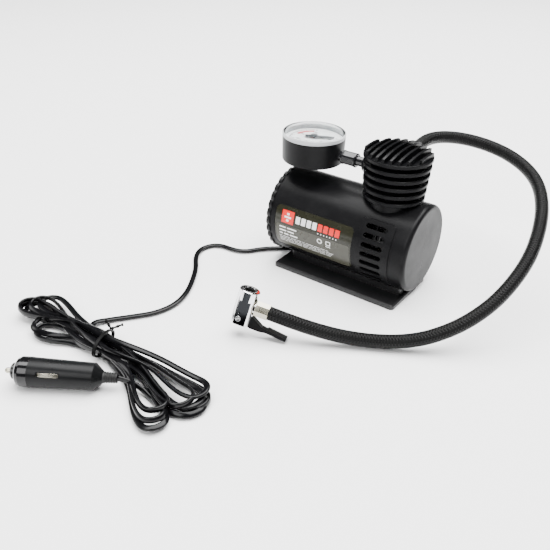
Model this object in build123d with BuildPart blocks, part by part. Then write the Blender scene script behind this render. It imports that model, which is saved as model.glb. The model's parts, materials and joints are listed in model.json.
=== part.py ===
"""Portable 12 volt tyre inflator: a small motor-driven piston compressor on a flat base.

Millimetres, +Z up. The origin is on the base plate's underside, straight below the middle of
the barrel. The barrel lies along X with its flat end towards +X, the label faces -Y, and the
pump head stands on top.
"""

import os
from math import cos, degrees, radians, sin, tan

from build123d import *

os.makedirs("parts", exist_ok=True)

# ---------------------------------------------------------------- driving dimensions
BASE_LEFT_X = -59.5
BASE_RIGHT_X = 57.5
BASE_FRONT_Y = -39.0
BASE_BACK_Y = 22.0
BASE_THICKNESS = 4.0

BARREL_RADIUS = 37.0
BARREL_AXIS_Z = BASE_THICKNESS + BARREL_RADIUS
BARREL_WALL = 2.4
BARREL_RIGHT_X = 61.0
BARREL_LEFT_X = -66.8
END_WALL = 3.0
END_EDGE_RADIUS = 3.6

REAR_CAP_LEFT_X = -70.8
REAR_CAP_RADIUS = 36.4
REAR_CAP_SCALLOPS = 30
SCALLOP_RADIUS = 5.6
SCALLOP_CREST_RADIUS = 38.1
SCALLOP_LEFT_X = -70.0

SLOT_ANGLES = [36, 24, 12, 0, -12, -24, -36]
SLOT_LEFT_X = 22.2
SLOT_RIGHT_X = 41.0
SLOT_HEIGHT = 4.2
PANEL_LEFT_X = 17.5
PANEL_RIGHT_X = 47.0
PANEL_RISE = 0.8

LABEL_LEFT_X = -61.8
LABEL_RIGHT_X = 13.8
LABEL_TOP_ANGLE = 28
LABEL_BOTTOM_ANGLE = -35
LABEL_RECESS = 0.5
LABEL_THICKNESS = 0.35

MOTOR_AXIS_Z = 26.5
MOTOR_RADIUS = 18.0
MOTOR_LEFT_X = -43.0
MOTOR_RIGHT_X = 11.0
SHAFT_RADIUS = 1.6

GEAR_MODULE = 0.8
PINION_TEETH = 10
GEAR_TEETH = 44
GEAR_AXIS_Z = MOTOR_AXIS_Z + GEAR_MODULE * (PINION_TEETH + GEAR_TEETH) / 2
GEAR_LEFT_X = 18.5
GEAR_RIGHT_X = 22.5
CRANK_RADIUS = 5.6
GEAR_BACKLASH = 0.10

FRAME_LEFT_X = 13.5
FRAME_RIGHT_X = 16.5
SHELF_BOTTOM_Z = 68.0
SHELF_TOP_Z = 71.0

HEAD_X = 28.3
HEAD_CORE_RADIUS = 20.0
HEAD_TOP_RADIUS = 27.5
DECK_TOP_Z = 115.1
RING_PITCH = 6.5
RING_THICKNESS = 3.2
RING_COUNT = 6
RING_TAPER = 0.5
TOP_FIN_PITCH = 5.9
TOP_FIN_COUNT = 9
TOP_FIN_THICKNESS = 2.1
TOP_FIN_EDGE_Z = 118.2
TOP_FIN_CENTRE_Z = 121.6

BORE_RADIUS = 11.0
SLEEVE_OUTER_RADIUS = 13.0
SLEEVE_TOP_Z = 89.5
SLEEVE_BOTTOM_Z = 66.0
VALVE_PLATE_TOP_Z = 92.0
CHAMBER_RADIUS = 8.0
CHAMBER_TOP_Z = 107.0
PISTON_CROWN_Z = 76.0

GAUGE_X = -49.8
GAUGE_RADIUS = 26.6
GAUGE_BOTTOM_Z = 90.9
GAUGE_CASE_TOP_Z = 111.9
GAUGE_LENS_TOP_Z = 115.4
GAUGE_LINE_Z = 100.0
DIAL_Z = 109.0
NEEDLE_REST_ANGLE = 25.0

HOSE_RADIUS = 5.3
HOSE_EXIT_X = 26.0
HOSE_EXIT_Y = 33.5
HOSE_EXIT_Z = 105.0

CABLE_RADIUS = 2.0
CABLE_Z = 2.05
CABLE_EXIT_X = -62.0
CABLE_EXIT_Y = -6.0

barrel_axis = Axis((0, 0, BARREL_AXIS_Z), (1, 0, 0))


def save(piece, node):
    """Label a finished piece with its node name and write it as one STEP file."""
    piece.part.label = node
    export_step(piece.part, f"parts/{node}.step")


# ---------------------------------------------------------------- base plate
BASE_CORNER_RADIUS = 3.0
SADDLE_LENGTH = 108.0
SADDLE_WIDTH = 40.0
SADDLE_TOP_Z = 10.5
SADDLE_GAP = 0.15
BASE_SCREW_X = 50.0
BASE_SCREW_Y = 14.0
CABLE_CHANNEL_WIDTH = 6.4
CABLE_CHANNEL_HEIGHT = 4.8
GROMMET_LENGTH = 12.0

with BuildPart() as base_plate:
    with BuildSketch(Plane.XY):
        with Locations(((BASE_LEFT_X + BASE_RIGHT_X) / 2, (BASE_FRONT_Y + BASE_BACK_Y) / 2)):
            RectangleRounded(BASE_RIGHT_X - BASE_LEFT_X, BASE_BACK_Y - BASE_FRONT_Y, BASE_CORNER_RADIUS)
    extrude(amount=BASE_THICKNESS)
    chamfer(base_plate.faces().sort_by(Axis.Z)[-1].edges(), 1.0)
    with BuildSketch(Plane.XY.offset(BASE_THICKNESS / 2)):
        RectangleRounded(SADDLE_LENGTH, SADDLE_WIDTH, 3)
    extrude(amount=SADDLE_TOP_Z - BASE_THICKNESS / 2)
    with BuildSketch(Plane.YZ.offset(BASE_LEFT_X)):
        with Locations((0, BARREL_AXIS_Z)):
            Circle(BARREL_RADIUS + SADDLE_GAP)
    extrude(amount=BASE_RIGHT_X - BASE_LEFT_X, mode=Mode.SUBTRACT)
    with Locations(Plane((0, 0, 0), z_dir=(0, 0, -1))):
        with GridLocations(2 * BASE_SCREW_X, 2 * BASE_SCREW_Y, 2, 2):
            CounterSinkHole(radius=1.7, counter_sink_radius=3.4, depth=20)
    with BuildSketch(Plane.YZ.offset(BASE_LEFT_X)):
        with Locations((CABLE_EXIT_Y, 0)):
            Rectangle(CABLE_CHANNEL_WIDTH, CABLE_CHANNEL_HEIGHT, align=(Align.CENTER, Align.MIN))
    extrude(amount=GROMMET_LENGTH, mode=Mode.SUBTRACT)
save(base_plate, "base_plate")

with BuildPart() as base_screws:
    for screw_x in (-BASE_SCREW_X, BASE_SCREW_X):
        for screw_y in (-BASE_SCREW_Y, BASE_SCREW_Y):
            with BuildSketch(Plane.XZ.offset(-screw_y)):
                with BuildLine():
                    Polyline(
                        (screw_x, 0.4),
                        (screw_x + 3.0, 0.4),
                        (screw_x + 1.45, 2.0),
                        (screw_x + 1.45, 12.6),
                        (screw_x, 13.6),
                        close=True,
                    )
                make_face()
            revolve(axis=Axis((screw_x, screw_y, 0), (0, 0, 1)))
save(base_screws, "base_screws")

with BuildPart() as cable_grommet:
    with BuildSketch(Plane.YZ.offset(BASE_LEFT_X)):
        with Locations((CABLE_EXIT_Y, 0.1)):
            Rectangle(CABLE_CHANNEL_WIDTH - 0.1, CABLE_CHANNEL_HEIGHT - 0.9, align=(Align.CENTER, Align.MIN))
    extrude(amount=GROMMET_LENGTH - 0.1)
    with BuildSketch(Plane.YZ.offset(BASE_LEFT_X)):
        with Locations((CABLE_EXIT_Y, CABLE_Z - 0.1)):
            RectangleRounded(6.0, 3.8, 1.2)
    with BuildSketch(Plane.YZ.offset(CABLE_EXIT_X)):
        with Locations((CABLE_EXIT_Y, CABLE_Z - 0.1)):
            RectangleRounded(5.2, 3.4, 1.2)
    loft()
save(cable_grommet, "cable_grommet")


# ---------------------------------------------------------------- barrel housing
HOUSING_SCREWS = [(-54.0, 62.0), (53.0, 62.0), (-54.0, 27.0), (53.0, 27.0)]
BOSS_RADIUS = 3.6
BASE_BOSS_TOP_Z = 15.0
SCREW_HEAD_RADIUS = 3.0
SCREW_HEAD_Y = 22.0
PILOT_RADIUS = 1.5
INNER_RADIUS = BARREL_RADIUS - BARREL_WALL

front_view = Plane((0, 0, 0), x_dir=(1, 0, 0), z_dir=(0, -1, 0))
label_top_z = BARREL_AXIS_Z + BARREL_RADIUS * sin(radians(LABEL_TOP_ANGLE))
label_bottom_z = BARREL_AXIS_Z + BARREL_RADIUS * sin(radians(LABEL_BOTTOM_ANGLE))
slot_x = (SLOT_LEFT_X + SLOT_RIGHT_X) / 2


def barrel_patch(left_x, right_x, bottom_z, top_z, inner, outer, side, corner):
    """A piece of barrel skin between two radii, with rounded corners in the side view."""
    with BuildPart() as patch:
        with BuildSketch(Plane.XZ):
            with Locations(((left_x + right_x) / 2, BARREL_AXIS_Z + (inner + outer) / 2)):
                Rectangle(right_x - left_x, outer - inner)
        revolve(axis=barrel_axis)
        with BuildSketch(front_view):
            with Locations(((left_x + right_x) / 2, (bottom_z + top_z) / 2)):
                RectangleRounded(right_x - left_x - 0.01, top_z - bottom_z, corner)
        extrude(amount=-side * 2 * BARREL_RADIUS, mode=Mode.INTERSECT)
    return patch.part


def barrel_skin():
    """The barrel's solid outer form, with its rounded right-hand edge."""
    with BuildPart() as skin:
        with BuildSketch(Plane.YZ.offset(BARREL_LEFT_X)):
            with Locations((0, BARREL_AXIS_Z)):
                Circle(BARREL_RADIUS)
        extrude(amount=BARREL_RIGHT_X - BARREL_LEFT_X)
        fillet(skin.edges().group_by(Axis.X)[-1], END_EDGE_RADIUS)
    return skin.part


def housing_half(side):
    """One clamshell half of the barrel: side is -1 for the label half, +1 for the other."""
    skin = barrel_skin()
    panel = barrel_patch(
        PANEL_LEFT_X,
        PANEL_RIGHT_X,
        BARREL_AXIS_Z - BARREL_RADIUS * sin(radians(52)),
        BARREL_AXIS_Z + BARREL_RADIUS * sin(radians(46)),
        BARREL_RADIUS - 0.5,
        BARREL_RADIUS + PANEL_RISE,
        side,
        3,
    )
    with BuildPart() as half:
        add(skin)
        with BuildSketch(Plane.YZ.offset(BARREL_LEFT_X)):
            with Locations((0, BARREL_AXIS_Z)):
                Circle(INNER_RADIUS)
        extrude(amount=BARREL_RIGHT_X - END_WALL - BARREL_LEFT_X, mode=Mode.SUBTRACT)
        # two bulkheads cradle the motor can
        for rib_x in (-32.0, 2.0):
            with BuildSketch(Plane.YZ.offset(rib_x)):
                with Locations((0, BARREL_AXIS_Z)):
                    Circle(INNER_RADIUS + 0.5)
                with Locations((0, MOTOR_AXIS_Z)):
                    Circle(MOTOR_RADIUS + 0.05, mode=Mode.SUBTRACT)
                with Locations((0, BARREL_AXIS_Z + 16)):
                    Rectangle(36, 22, mode=Mode.SUBTRACT)
            extrude(amount=2.2)
        # screw bosses across the seam and up from the base, trimmed to the skin
        with BuildSketch(front_view.offset(-BARREL_RADIUS)):
            with Locations(*HOUSING_SCREWS):
                Circle(BOSS_RADIUS)
        extrude(amount=2 * BARREL_RADIUS)
        with BuildSketch(Plane.XY.offset(5)):
            with GridLocations(2 * BASE_SCREW_X, 2 * BASE_SCREW_Y, 2, 2):
                Circle(BOSS_RADIUS)
        extrude(amount=BASE_BOSS_TOP_Z - 5)
        add(skin, mode=Mode.INTERSECT)
        add(panel)
        # vent slots through the raised panel
        for angle in SLOT_ANGLES:
            outward = Vector(0, side * cos(radians(angle)), sin(radians(angle)))
            origin = Vector(slot_x, 0, BARREL_AXIS_Z) + outward * (BARREL_RADIUS - 6)
            with BuildSketch(Plane(origin, x_dir=(1, 0, 0), z_dir=outward)):
                SlotOverall(SLOT_RIGHT_X - SLOT_LEFT_X, SLOT_HEIGHT)
            extrude(amount=12, mode=Mode.SUBTRACT)
        # opening for the pump head's neck
        with BuildSketch(Plane.XY.offset(BARREL_AXIS_Z + 14)):
            with Locations((HEAD_X, 0)):
                Circle(HEAD_CORE_RADIUS + 0.2)
        extrude(amount=40, mode=Mode.SUBTRACT)
        # pilot holes for the base screws
        with BuildSketch(Plane.XY.offset(2)):
            with GridLocations(2 * BASE_SCREW_X, 2 * BASE_SCREW_Y, 2, 2):
                Circle(PILOT_RADIUS)
        extrude(amount=BASE_BOSS_TOP_Z - 2.4, mode=Mode.SUBTRACT)
        # seam screws: a through pilot, and a pocket for the head in the back half
        with BuildSketch(front_view.offset(-BARREL_RADIUS)):
            with Locations(*HOUSING_SCREWS):
                Circle(PILOT_RADIUS)
        extrude(amount=BARREL_RADIUS + 18, mode=Mode.SUBTRACT)
        with BuildSketch(front_view.offset(-BARREL_RADIUS)):
            with Locations(*HOUSING_SCREWS):
                Circle(SCREW_HEAD_RADIUS + 0.2)
        extrude(amount=BARREL_RADIUS - SCREW_HEAD_Y, mode=Mode.SUBTRACT)
        if side < 0:
            add(label_recess, mode=Mode.SUBTRACT)
        split(bisect_by=Plane.XZ, keep=Keep.TOP if side < 0 else Keep.BOTTOM)
    return half


label_recess = barrel_patch(
    LABEL_LEFT_X,
    LABEL_RIGHT_X,
    label_bottom_z,
    label_top_z,
    BARREL_RADIUS - LABEL_RECESS,
    BARREL_RADIUS + LABEL_RECESS,
    -1,
    4,
)
housing_front = housing_half(-1)
save(housing_front, "housing_front")
housing_back = housing_half(+1)
save(housing_back, "housing_back")

label_sheet = barrel_patch(
    LABEL_LEFT_X + 0.3,
    LABEL_RIGHT_X - 0.3,
    label_bottom_z + 0.3,
    label_top_z - 0.3,
    BARREL_RADIUS - LABEL_RECESS + 0.02,
    BARREL_RADIUS - LABEL_RECESS + 0.02 + LABEL_THICKNESS,
    -1,
    3.7,
)
with BuildPart() as label_plate:
    add(label_sheet)
save(label_plate, "label_plate")

with BuildPart() as housing_screws:
    with BuildSketch(front_view.offset(-SCREW_HEAD_Y - 2.2)):
        with Locations(*HOUSING_SCREWS):
            Circle(SCREW_HEAD_RADIUS)
    extrude(amount=2.2)
    with BuildSketch(front_view.offset(-SCREW_HEAD_Y)):
        with Locations(*HOUSING_SCREWS):
            Circle(PILOT_RADIUS - 0.03)
    extrude(amount=38)
    with BuildSketch(front_view.offset(-SCREW_HEAD_Y - 2.2)):
        for turn in (0, 90):
            with Locations(*HOUSING_SCREWS):
                Rectangle(3.6, 0.9, rotation=turn)
    extrude(amount=1.2, mode=Mode.SUBTRACT)
save(housing_screws, "housing_screws")

REAR_VENTS = 16
with BuildPart() as rear_cap:
    cap_face = Plane.YZ.offset(REAR_CAP_LEFT_X)
    with BuildSketch(cap_face):
        with Locations((0, BARREL_AXIS_Z)):
            Circle(REAR_CAP_RADIUS)
    extrude(amount=BARREL_LEFT_X - REAR_CAP_LEFT_X)
    chamfer(rear_cap.faces().sort_by(Axis.X)[0].outer_wire().edges(), 0.9)
    # wide shallow scallops that meet in cusps all round the rim
    with BuildSketch(Plane.YZ.offset(SCALLOP_LEFT_X)):
        with Locations((0, BARREL_AXIS_Z)):
            with PolarLocations(SCALLOP_CREST_RADIUS - SCALLOP_RADIUS, REAR_CAP_SCALLOPS):
                Circle(SCALLOP_RADIUS)
    extrude(amount=BARREL_LEFT_X - SCALLOP_LEFT_X)
    with BuildSketch(cap_face):
        with Locations((0, BARREL_AXIS_Z)):
            Circle(INNER_RADIUS - 0.2)
    extrude(amount=BARREL_LEFT_X - REAR_CAP_LEFT_X + 4)
    with BuildSketch(cap_face.offset(2.6)):
        with Locations((0, BARREL_AXIS_Z)):
            Circle(INNER_RADIUS - 2.4)
    extrude(amount=20, mode=Mode.SUBTRACT)
    with BuildSketch(cap_face):
        with Locations((0, BARREL_AXIS_Z)):
            with PolarLocations(20, REAR_VENTS):
                SlotOverall(16, 3.0)
    extrude(amount=5, mode=Mode.SUBTRACT)
    # clearance for the seam screws' bosses
    with BuildSketch(front_view.offset(-BARREL_RADIUS)):
        with Locations(*HOUSING_SCREWS):
            Circle(BOSS_RADIUS + 0.3)
    extrude(amount=2 * BARREL_RADIUS, mode=Mode.SUBTRACT)
save(rear_cap, "rear_cap")


# ---------------------------------------------------------------- motor
CAN_WALL = 1.2
BRUSH_END_X = MOTOR_LEFT_X - 3.5
ROTOR_RADIUS = 11.8
ROTOR_POLES = 5
BUSH_RADIUS = 4.0

with BuildPart() as motor_can:
    with BuildSketch(Plane.YZ.offset(MOTOR_LEFT_X)):
        with Locations((0, MOTOR_AXIS_Z)):
            Circle(MOTOR_RADIUS)
    extrude(amount=MOTOR_RIGHT_X - MOTOR_LEFT_X)
    with BuildSketch(Plane.YZ.offset(MOTOR_RIGHT_X)):
        with Locations((0, MOTOR_AXIS_Z)):
            Circle(6.4)
    extrude(amount=2.4)
    with BuildSketch(Plane.YZ.offset(MOTOR_LEFT_X)):
        with Locations((0, MOTOR_AXIS_Z)):
            Circle(MOTOR_RADIUS - CAN_WALL)
    extrude(amount=MOTOR_RIGHT_X - MOTOR_LEFT_X - CAN_WALL, mode=Mode.SUBTRACT)
    with BuildSketch(Plane.YZ.offset(MOTOR_RIGHT_X - 5)):
        with Locations((0, MOTOR_AXIS_Z)):
            Circle(BUSH_RADIUS)
        with Locations((-12.5, MOTOR_AXIS_Z), (12.5, MOTOR_AXIS_Z)):
            Circle(1.5)
    extrude(amount=20, mode=Mode.SUBTRACT)
save(motor_can, "motor_can")

with BuildPart() as motor_end_bell:
    with BuildSketch(Plane.YZ.offset(BRUSH_END_X)):
        with Locations((0, MOTOR_AXIS_Z)):
            Circle(MOTOR_RADIUS - 0.2)
            Circle(BUSH_RADIUS, mode=Mode.SUBTRACT)
    extrude(amount=MOTOR_LEFT_X - BRUSH_END_X)
    with BuildSketch(Plane.YZ.offset(BRUSH_END_X)):
        with Locations((-11, MOTOR_AXIS_Z), (11, MOTOR_AXIS_Z)):
            Rectangle(2.0, 5.0)
    extrude(amount=-2.0)
save(motor_end_bell, "motor_end_bell")

with BuildPart() as motor_bushes:
    for bush_x in (BRUSH_END_X, MOTOR_RIGHT_X - CAN_WALL):
        with BuildSketch(Plane.YZ.offset(bush_x)):
            with Locations((0, MOTOR_AXIS_Z)):
                Circle(BUSH_RADIUS - 0.02)
                Circle(SHAFT_RADIUS + 0.04, mode=Mode.SUBTRACT)
        extrude(amount=3.5)
save(motor_bushes, "motor_bushes")

with BuildPart() as motor_magnets:
    with BuildSketch(Plane.YZ.offset(-36)):
        with Locations((0, MOTOR_AXIS_Z)):
            Circle(MOTOR_RADIUS - CAN_WALL - 0.05)
            Circle(ROTOR_RADIUS + 0.6, mode=Mode.SUBTRACT)
            Rectangle(20, 60, mode=Mode.SUBTRACT)
    extrude(amount=40)
save(motor_magnets, "motor_magnets")

with BuildPart() as motor_armature:
    with BuildSketch(Plane.YZ.offset(-33)):
        with Locations((0, MOTOR_AXIS_Z)):
            Circle(ROTOR_RADIUS)
            with PolarLocations(9.6, ROTOR_POLES, start_angle=18):
                SlotOverall(6.4, 2.2, mode=Mode.SUBTRACT)
    extrude(amount=34)
    with BuildSketch(Plane.YZ.offset(-41)):
        with Locations((0, MOTOR_AXIS_Z)):
            Circle(4.6)
    extrude(amount=8.5)
    with BuildSketch(Plane.YZ.offset(-60)):
        with Locations((0, MOTOR_AXIS_Z)):
            Circle(SHAFT_RADIUS + 0.01)
    extrude(amount=80, mode=Mode.SUBTRACT)
save(motor_armature, "motor_armature")

with BuildPart() as motor_shaft:
    with BuildSketch(Plane.YZ.offset(BRUSH_END_X - 1)):
        with Locations((0, MOTOR_AXIS_Z)):
            Circle(SHAFT_RADIUS)
    extrude(amount=GEAR_RIGHT_X + 1.5 - BRUSH_END_X)
    chamfer(motor_shaft.faces().sort_by(Axis.X)[-1].edges(), 0.3)
save(motor_shaft, "motor_shaft")

with BuildPart() as motor_screws:
    with BuildSketch(Plane.YZ.offset(MOTOR_RIGHT_X - 1)):
        with Locations((-12.5, MOTOR_AXIS_Z), (12.5, MOTOR_AXIS_Z)):
            Circle(1.45)
    extrude(amount=FRAME_RIGHT_X - MOTOR_RIGHT_X + 1)
    with BuildSketch(Plane.YZ.offset(FRAME_RIGHT_X)):
        with Locations((-12.5, MOTOR_AXIS_Z), (12.5, MOTOR_AXIS_Z)):
            Circle(2.7)
    extrude(amount=1.8)
save(motor_screws, "motor_screws")


# ---------------------------------------------------------------- reduction gears and crank
def gear_outline(teeth, centre_z):
    """Corner points of a straight-flanked spur gear outline, on YZ, centred at a height."""
    pitch_radius = GEAR_MODULE * teeth / 2
    tip_radius = pitch_radius + 0.85 * GEAR_MODULE
    root_radius = pitch_radius - 1.2 * GEAR_MODULE
    half_tooth = 90 / teeth - degrees(GEAR_BACKLASH / pitch_radius)
    flank = degrees(tan(radians(20)))
    tip_half = half_tooth - flank * (tip_radius - pitch_radius) / tip_radius - 0.12 * 90 / teeth
    root_half = min(half_tooth + flank * (pitch_radius - root_radius) / root_radius, 0.92 * 180 / teeth)
    points = []
    for tooth in range(teeth):
        centre = tooth * 360 / teeth
        for radius, offset in (
            (root_radius, -root_half),
            (pitch_radius, -half_tooth),
            (tip_radius, -tip_half),
            (tip_radius, tip_half),
            (pitch_radius, half_tooth),
            (root_radius, root_half),
        ):
            angle = radians(centre + offset)
            points.append((radius * cos(angle), centre_z + radius * sin(angle)))
    return points


CRANK_SHAFT_RADIUS = 3.0
CRANK_PIN_RADIUS = 2.4
ROD_LEFT_X = HEAD_X - 3.0
ROD_RIGHT_X = HEAD_X + 3.0
PIN_END_GAP = 0.3
BEARING_RADIUS = 6.5

with BuildPart() as motor_pinion:
    with BuildSketch(Plane.YZ.offset(GEAR_LEFT_X - 0.3)):
        with BuildLine():
            Polyline(*gear_outline(PINION_TEETH, MOTOR_AXIS_Z), close=True)
        make_face()
        with Locations((0, MOTOR_AXIS_Z)):
            Circle(SHAFT_RADIUS + 0.005, mode=Mode.SUBTRACT)
    extrude(amount=GEAR_RIGHT_X - GEAR_LEFT_X + 0.6)
save(motor_pinion, "motor_pinion")

with BuildPart() as crank_gear:
    with BuildSketch(Plane.YZ.offset(GEAR_LEFT_X)):
        with BuildLine():
            Polyline(*gear_outline(GEAR_TEETH, GEAR_AXIS_Z), close=True)
        make_face()
        with Locations((0, GEAR_AXIS_Z)):
            with PolarLocations(10.5, 6, start_angle=30):
                Circle(2.6, mode=Mode.SUBTRACT)
        with Locations((0, GEAR_AXIS_Z - CRANK_RADIUS)):
            Circle(CRANK_PIN_RADIUS + 1.5)
            Circle(CRANK_PIN_RADIUS + 0.005, mode=Mode.SUBTRACT)
        with Locations((0, GEAR_AXIS_Z)):
            Circle(CRANK_SHAFT_RADIUS + 0.005, mode=Mode.SUBTRACT)
    extrude(amount=GEAR_RIGHT_X - GEAR_LEFT_X)
save(crank_gear, "crank_gear")

with BuildPart() as crank_counterweight:
    with BuildSketch(Plane.YZ.offset(GEAR_RIGHT_X)):
        with Locations((0, GEAR_AXIS_Z)):
            Circle(14)
            Rectangle(30, 20, align=(Align.CENTER, Align.MAX), mode=Mode.SUBTRACT)
            Circle(CRANK_SHAFT_RADIUS + 0.005, mode=Mode.SUBTRACT)
    extrude(amount=2.2)
save(crank_counterweight, "crank_counterweight")

with BuildPart() as crank_shaft:
    with BuildSketch(Plane.YZ.offset(MOTOR_RIGHT_X + 1.2)):
        with Locations((0, GEAR_AXIS_Z)):
            Circle(CRANK_SHAFT_RADIUS)
    extrude(amount=GEAR_RIGHT_X + 1.8 - MOTOR_RIGHT_X - 1.2)
save(crank_shaft, "crank_shaft")

with BuildPart() as crank_pin:
    with BuildSketch(Plane.YZ.offset(GEAR_LEFT_X)):
        with Locations((0, GEAR_AXIS_Z - CRANK_RADIUS)):
            Circle(CRANK_PIN_RADIUS)
    extrude(amount=ROD_LEFT_X - PIN_END_GAP - GEAR_LEFT_X)
save(crank_pin, "crank_pin")

with BuildPart() as crank_bearing:
    with BuildSketch(Plane.YZ.offset(FRAME_LEFT_X - 0.2)):
        with Locations((0, GEAR_AXIS_Z)):
            Circle(BEARING_RADIUS)
            Circle(CRANK_SHAFT_RADIUS + 0.04, mode=Mode.SUBTRACT)
    extrude(amount=4.4)
    with BuildSketch(Plane.YZ.offset(FRAME_LEFT_X - 0.2)):
        with Locations((0, GEAR_AXIS_Z)):
            Circle(5.6)
            Circle(4.2, mode=Mode.SUBTRACT)
    extrude(amount=0.4, mode=Mode.SUBTRACT)
save(crank_bearing, "crank_bearing")


# ---------------------------------------------------------------- drive frame
HEAD_SCREW_RADIUS = 16.8

with BuildPart() as drive_frame:
    with BuildSketch(Plane.YZ.offset(FRAME_LEFT_X)):
        with Locations((0, BARREL_AXIS_Z)):
            Circle(INNER_RADIUS - 0.25)
        with Locations((0, SHELF_TOP_Z)):
            Rectangle(80, 40, align=(Align.CENTER, Align.MIN), mode=Mode.SUBTRACT)
        with Locations((0, MOTOR_AXIS_Z)):
            Circle(6.45, mode=Mode.SUBTRACT)
        with Locations((-12.5, MOTOR_AXIS_Z), (12.5, MOTOR_AXIS_Z)):
            Circle(PILOT_RADIUS, mode=Mode.SUBTRACT)
        with Locations((0, GEAR_AXIS_Z)):
            Circle(BEARING_RADIUS + 0.01, mode=Mode.SUBTRACT)
        with Locations((-22, 48), (22, 48)):
            Circle(6, mode=Mode.SUBTRACT)
    extrude(amount=FRAME_RIGHT_X - FRAME_LEFT_X)
    with BuildSketch(Plane.XY.offset(SHELF_BOTTOM_Z)):
        with Locations((HEAD_X, 0)):
            Circle(HEAD_CORE_RADIUS - 0.4)
        with Locations(((FRAME_LEFT_X + HEAD_X) / 2, 0)):
            Rectangle(HEAD_X - FRAME_LEFT_X, 33)
    extrude(amount=SHELF_TOP_Z - SHELF_BOTTOM_Z)
    with BuildSketch(Plane.XY.offset(SLEEVE_BOTTOM_Z - 1)):
        with Locations((HEAD_X, 0)):
            Circle(SLEEVE_OUTER_RADIUS + 0.05)
            with PolarLocations(HEAD_SCREW_RADIUS, 4, start_angle=45):
                Circle(PILOT_RADIUS + 0.1)
    extrude(amount=10, mode=Mode.SUBTRACT)
    with BuildSketch(Plane.XY.offset(SHELF_BOTTOM_Z)):
        with Locations((HEAD_X, 0)):
            with PolarLocations(HEAD_SCREW_RADIUS, 4, start_angle=45):
                Circle(3.0)
    extrude(amount=-9, mode=Mode.SUBTRACT)
save(drive_frame, "drive_frame")

with BuildPart() as head_screws:
    with BuildSketch(Plane.XY.offset(SHELF_BOTTOM_Z - 2.2)):
        with Locations((HEAD_X, 0)):
            with PolarLocations(HEAD_SCREW_RADIUS, 4, start_angle=45):
                Circle(2.7)
    extrude(amount=2.2)
    with BuildSketch(Plane.XY.offset(SHELF_BOTTOM_Z)):
        with Locations((HEAD_X, 0)):
            with PolarLocations(HEAD_SCREW_RADIUS, 4, start_angle=45):
                Circle(PILOT_RADIUS - 0.03)
    extrude(amount=12)
save(head_screws, "head_screws")


# ---------------------------------------------------------------- piston and cylinder
ROD_EYE_Z = GEAR_AXIS_Z - CRANK_RADIUS
ROD_EYE_RADIUS = 6.5
FLANGE_TOP_Z = 73.0
GASKET_THICKNESS = 0.5

with BuildPart() as piston_rod:
    with BuildSketch(Plane.YZ.offset(ROD_LEFT_X)):
        with Locations((0, ROD_EYE_Z)):
            Circle(ROD_EYE_RADIUS)
        with BuildLine():
            Polyline(
                (-4.2, ROD_EYE_Z + 3),
                (4.2, ROD_EYE_Z + 3),
                (3.2, PISTON_CROWN_Z - 4),
                (-3.2, PISTON_CROWN_Z - 4),
                close=True,
            )
        make_face()
        with Locations((0, ROD_EYE_Z)):
            Circle(CRANK_PIN_RADIUS + 0.05, mode=Mode.SUBTRACT)
    extrude(amount=ROD_RIGHT_X - ROD_LEFT_X)
    with BuildSketch(Plane.XY.offset(PISTON_CROWN_Z - 5)):
        with Locations((HEAD_X, 0)):
            Circle(BORE_RADIUS - 0.6)
    extrude(amount=4.0)
save(piston_rod, "piston_rod")

with BuildPart() as piston_cup:
    with BuildSketch(Plane.XY.offset(PISTON_CROWN_Z - 1)):
        with Locations((HEAD_X, 0)):
            Circle(BORE_RADIUS - 0.06)
    extrude(amount=2.2)
    with BuildSketch(Plane.XY.offset(PISTON_CROWN_Z)):
        with Locations((HEAD_X, 0)):
            Circle(BORE_RADIUS - 1.2)
    extrude(amount=3, mode=Mode.SUBTRACT)
save(piston_cup, "piston_cup")

with BuildPart() as piston_retainer:
    with BuildSketch(Plane.XY.offset(PISTON_CROWN_Z)):
        with Locations((HEAD_X, 0)):
            Circle(BORE_RADIUS - 1.6)
    extrude(amount=0.8)
    with BuildSketch(Plane.XY.offset(PISTON_CROWN_Z + 0.8)):
        with Locations((HEAD_X, 0)):
            Circle(2.6)
    extrude(amount=1.2)
save(piston_retainer, "piston_retainer")

with BuildPart() as cylinder_gasket:
    with BuildSketch(Plane.XY.offset(SHELF_TOP_Z)):
        with Locations((HEAD_X, 0)):
            Circle(15)
            Circle(SLEEVE_OUTER_RADIUS + 0.1, mode=Mode.SUBTRACT)
    extrude(amount=GASKET_THICKNESS)
save(cylinder_gasket, "cylinder_gasket")

with BuildPart() as cylinder_sleeve:
    with BuildSketch(Plane.XY.offset(SLEEVE_BOTTOM_Z)):
        with Locations((HEAD_X, 0)):
            Circle(SLEEVE_OUTER_RADIUS)
    extrude(amount=SLEEVE_TOP_Z - SLEEVE_BOTTOM_Z)
    with BuildSketch(Plane.XY.offset(SHELF_TOP_Z + GASKET_THICKNESS)):
        with Locations((HEAD_X, 0)):
            Circle(15)
    extrude(amount=FLANGE_TOP_Z - SHELF_TOP_Z - GASKET_THICKNESS)
    with BuildSketch(Plane.XY.offset(SLEEVE_BOTTOM_Z)):
        with Locations((HEAD_X, 0)):
            Circle(BORE_RADIUS)
    extrude(amount=30, mode=Mode.SUBTRACT)
save(cylinder_sleeve, "cylinder_sleeve")

VALVE_HOLE_RADIUS = 2.2
VALVE_DISC_RADIUS = 4.2
VALVE_LIFT = 0.8
with BuildPart() as valve_plate:
    with BuildSketch(Plane.XY.offset(SLEEVE_TOP_Z)):
        with Locations((HEAD_X, 0)):
            Circle(SLEEVE_OUTER_RADIUS)
            Circle(VALVE_HOLE_RADIUS, mode=Mode.SUBTRACT)
    extrude(amount=VALVE_PLATE_TOP_Z - SLEEVE_TOP_Z)
save(valve_plate, "valve_plate")

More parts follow.
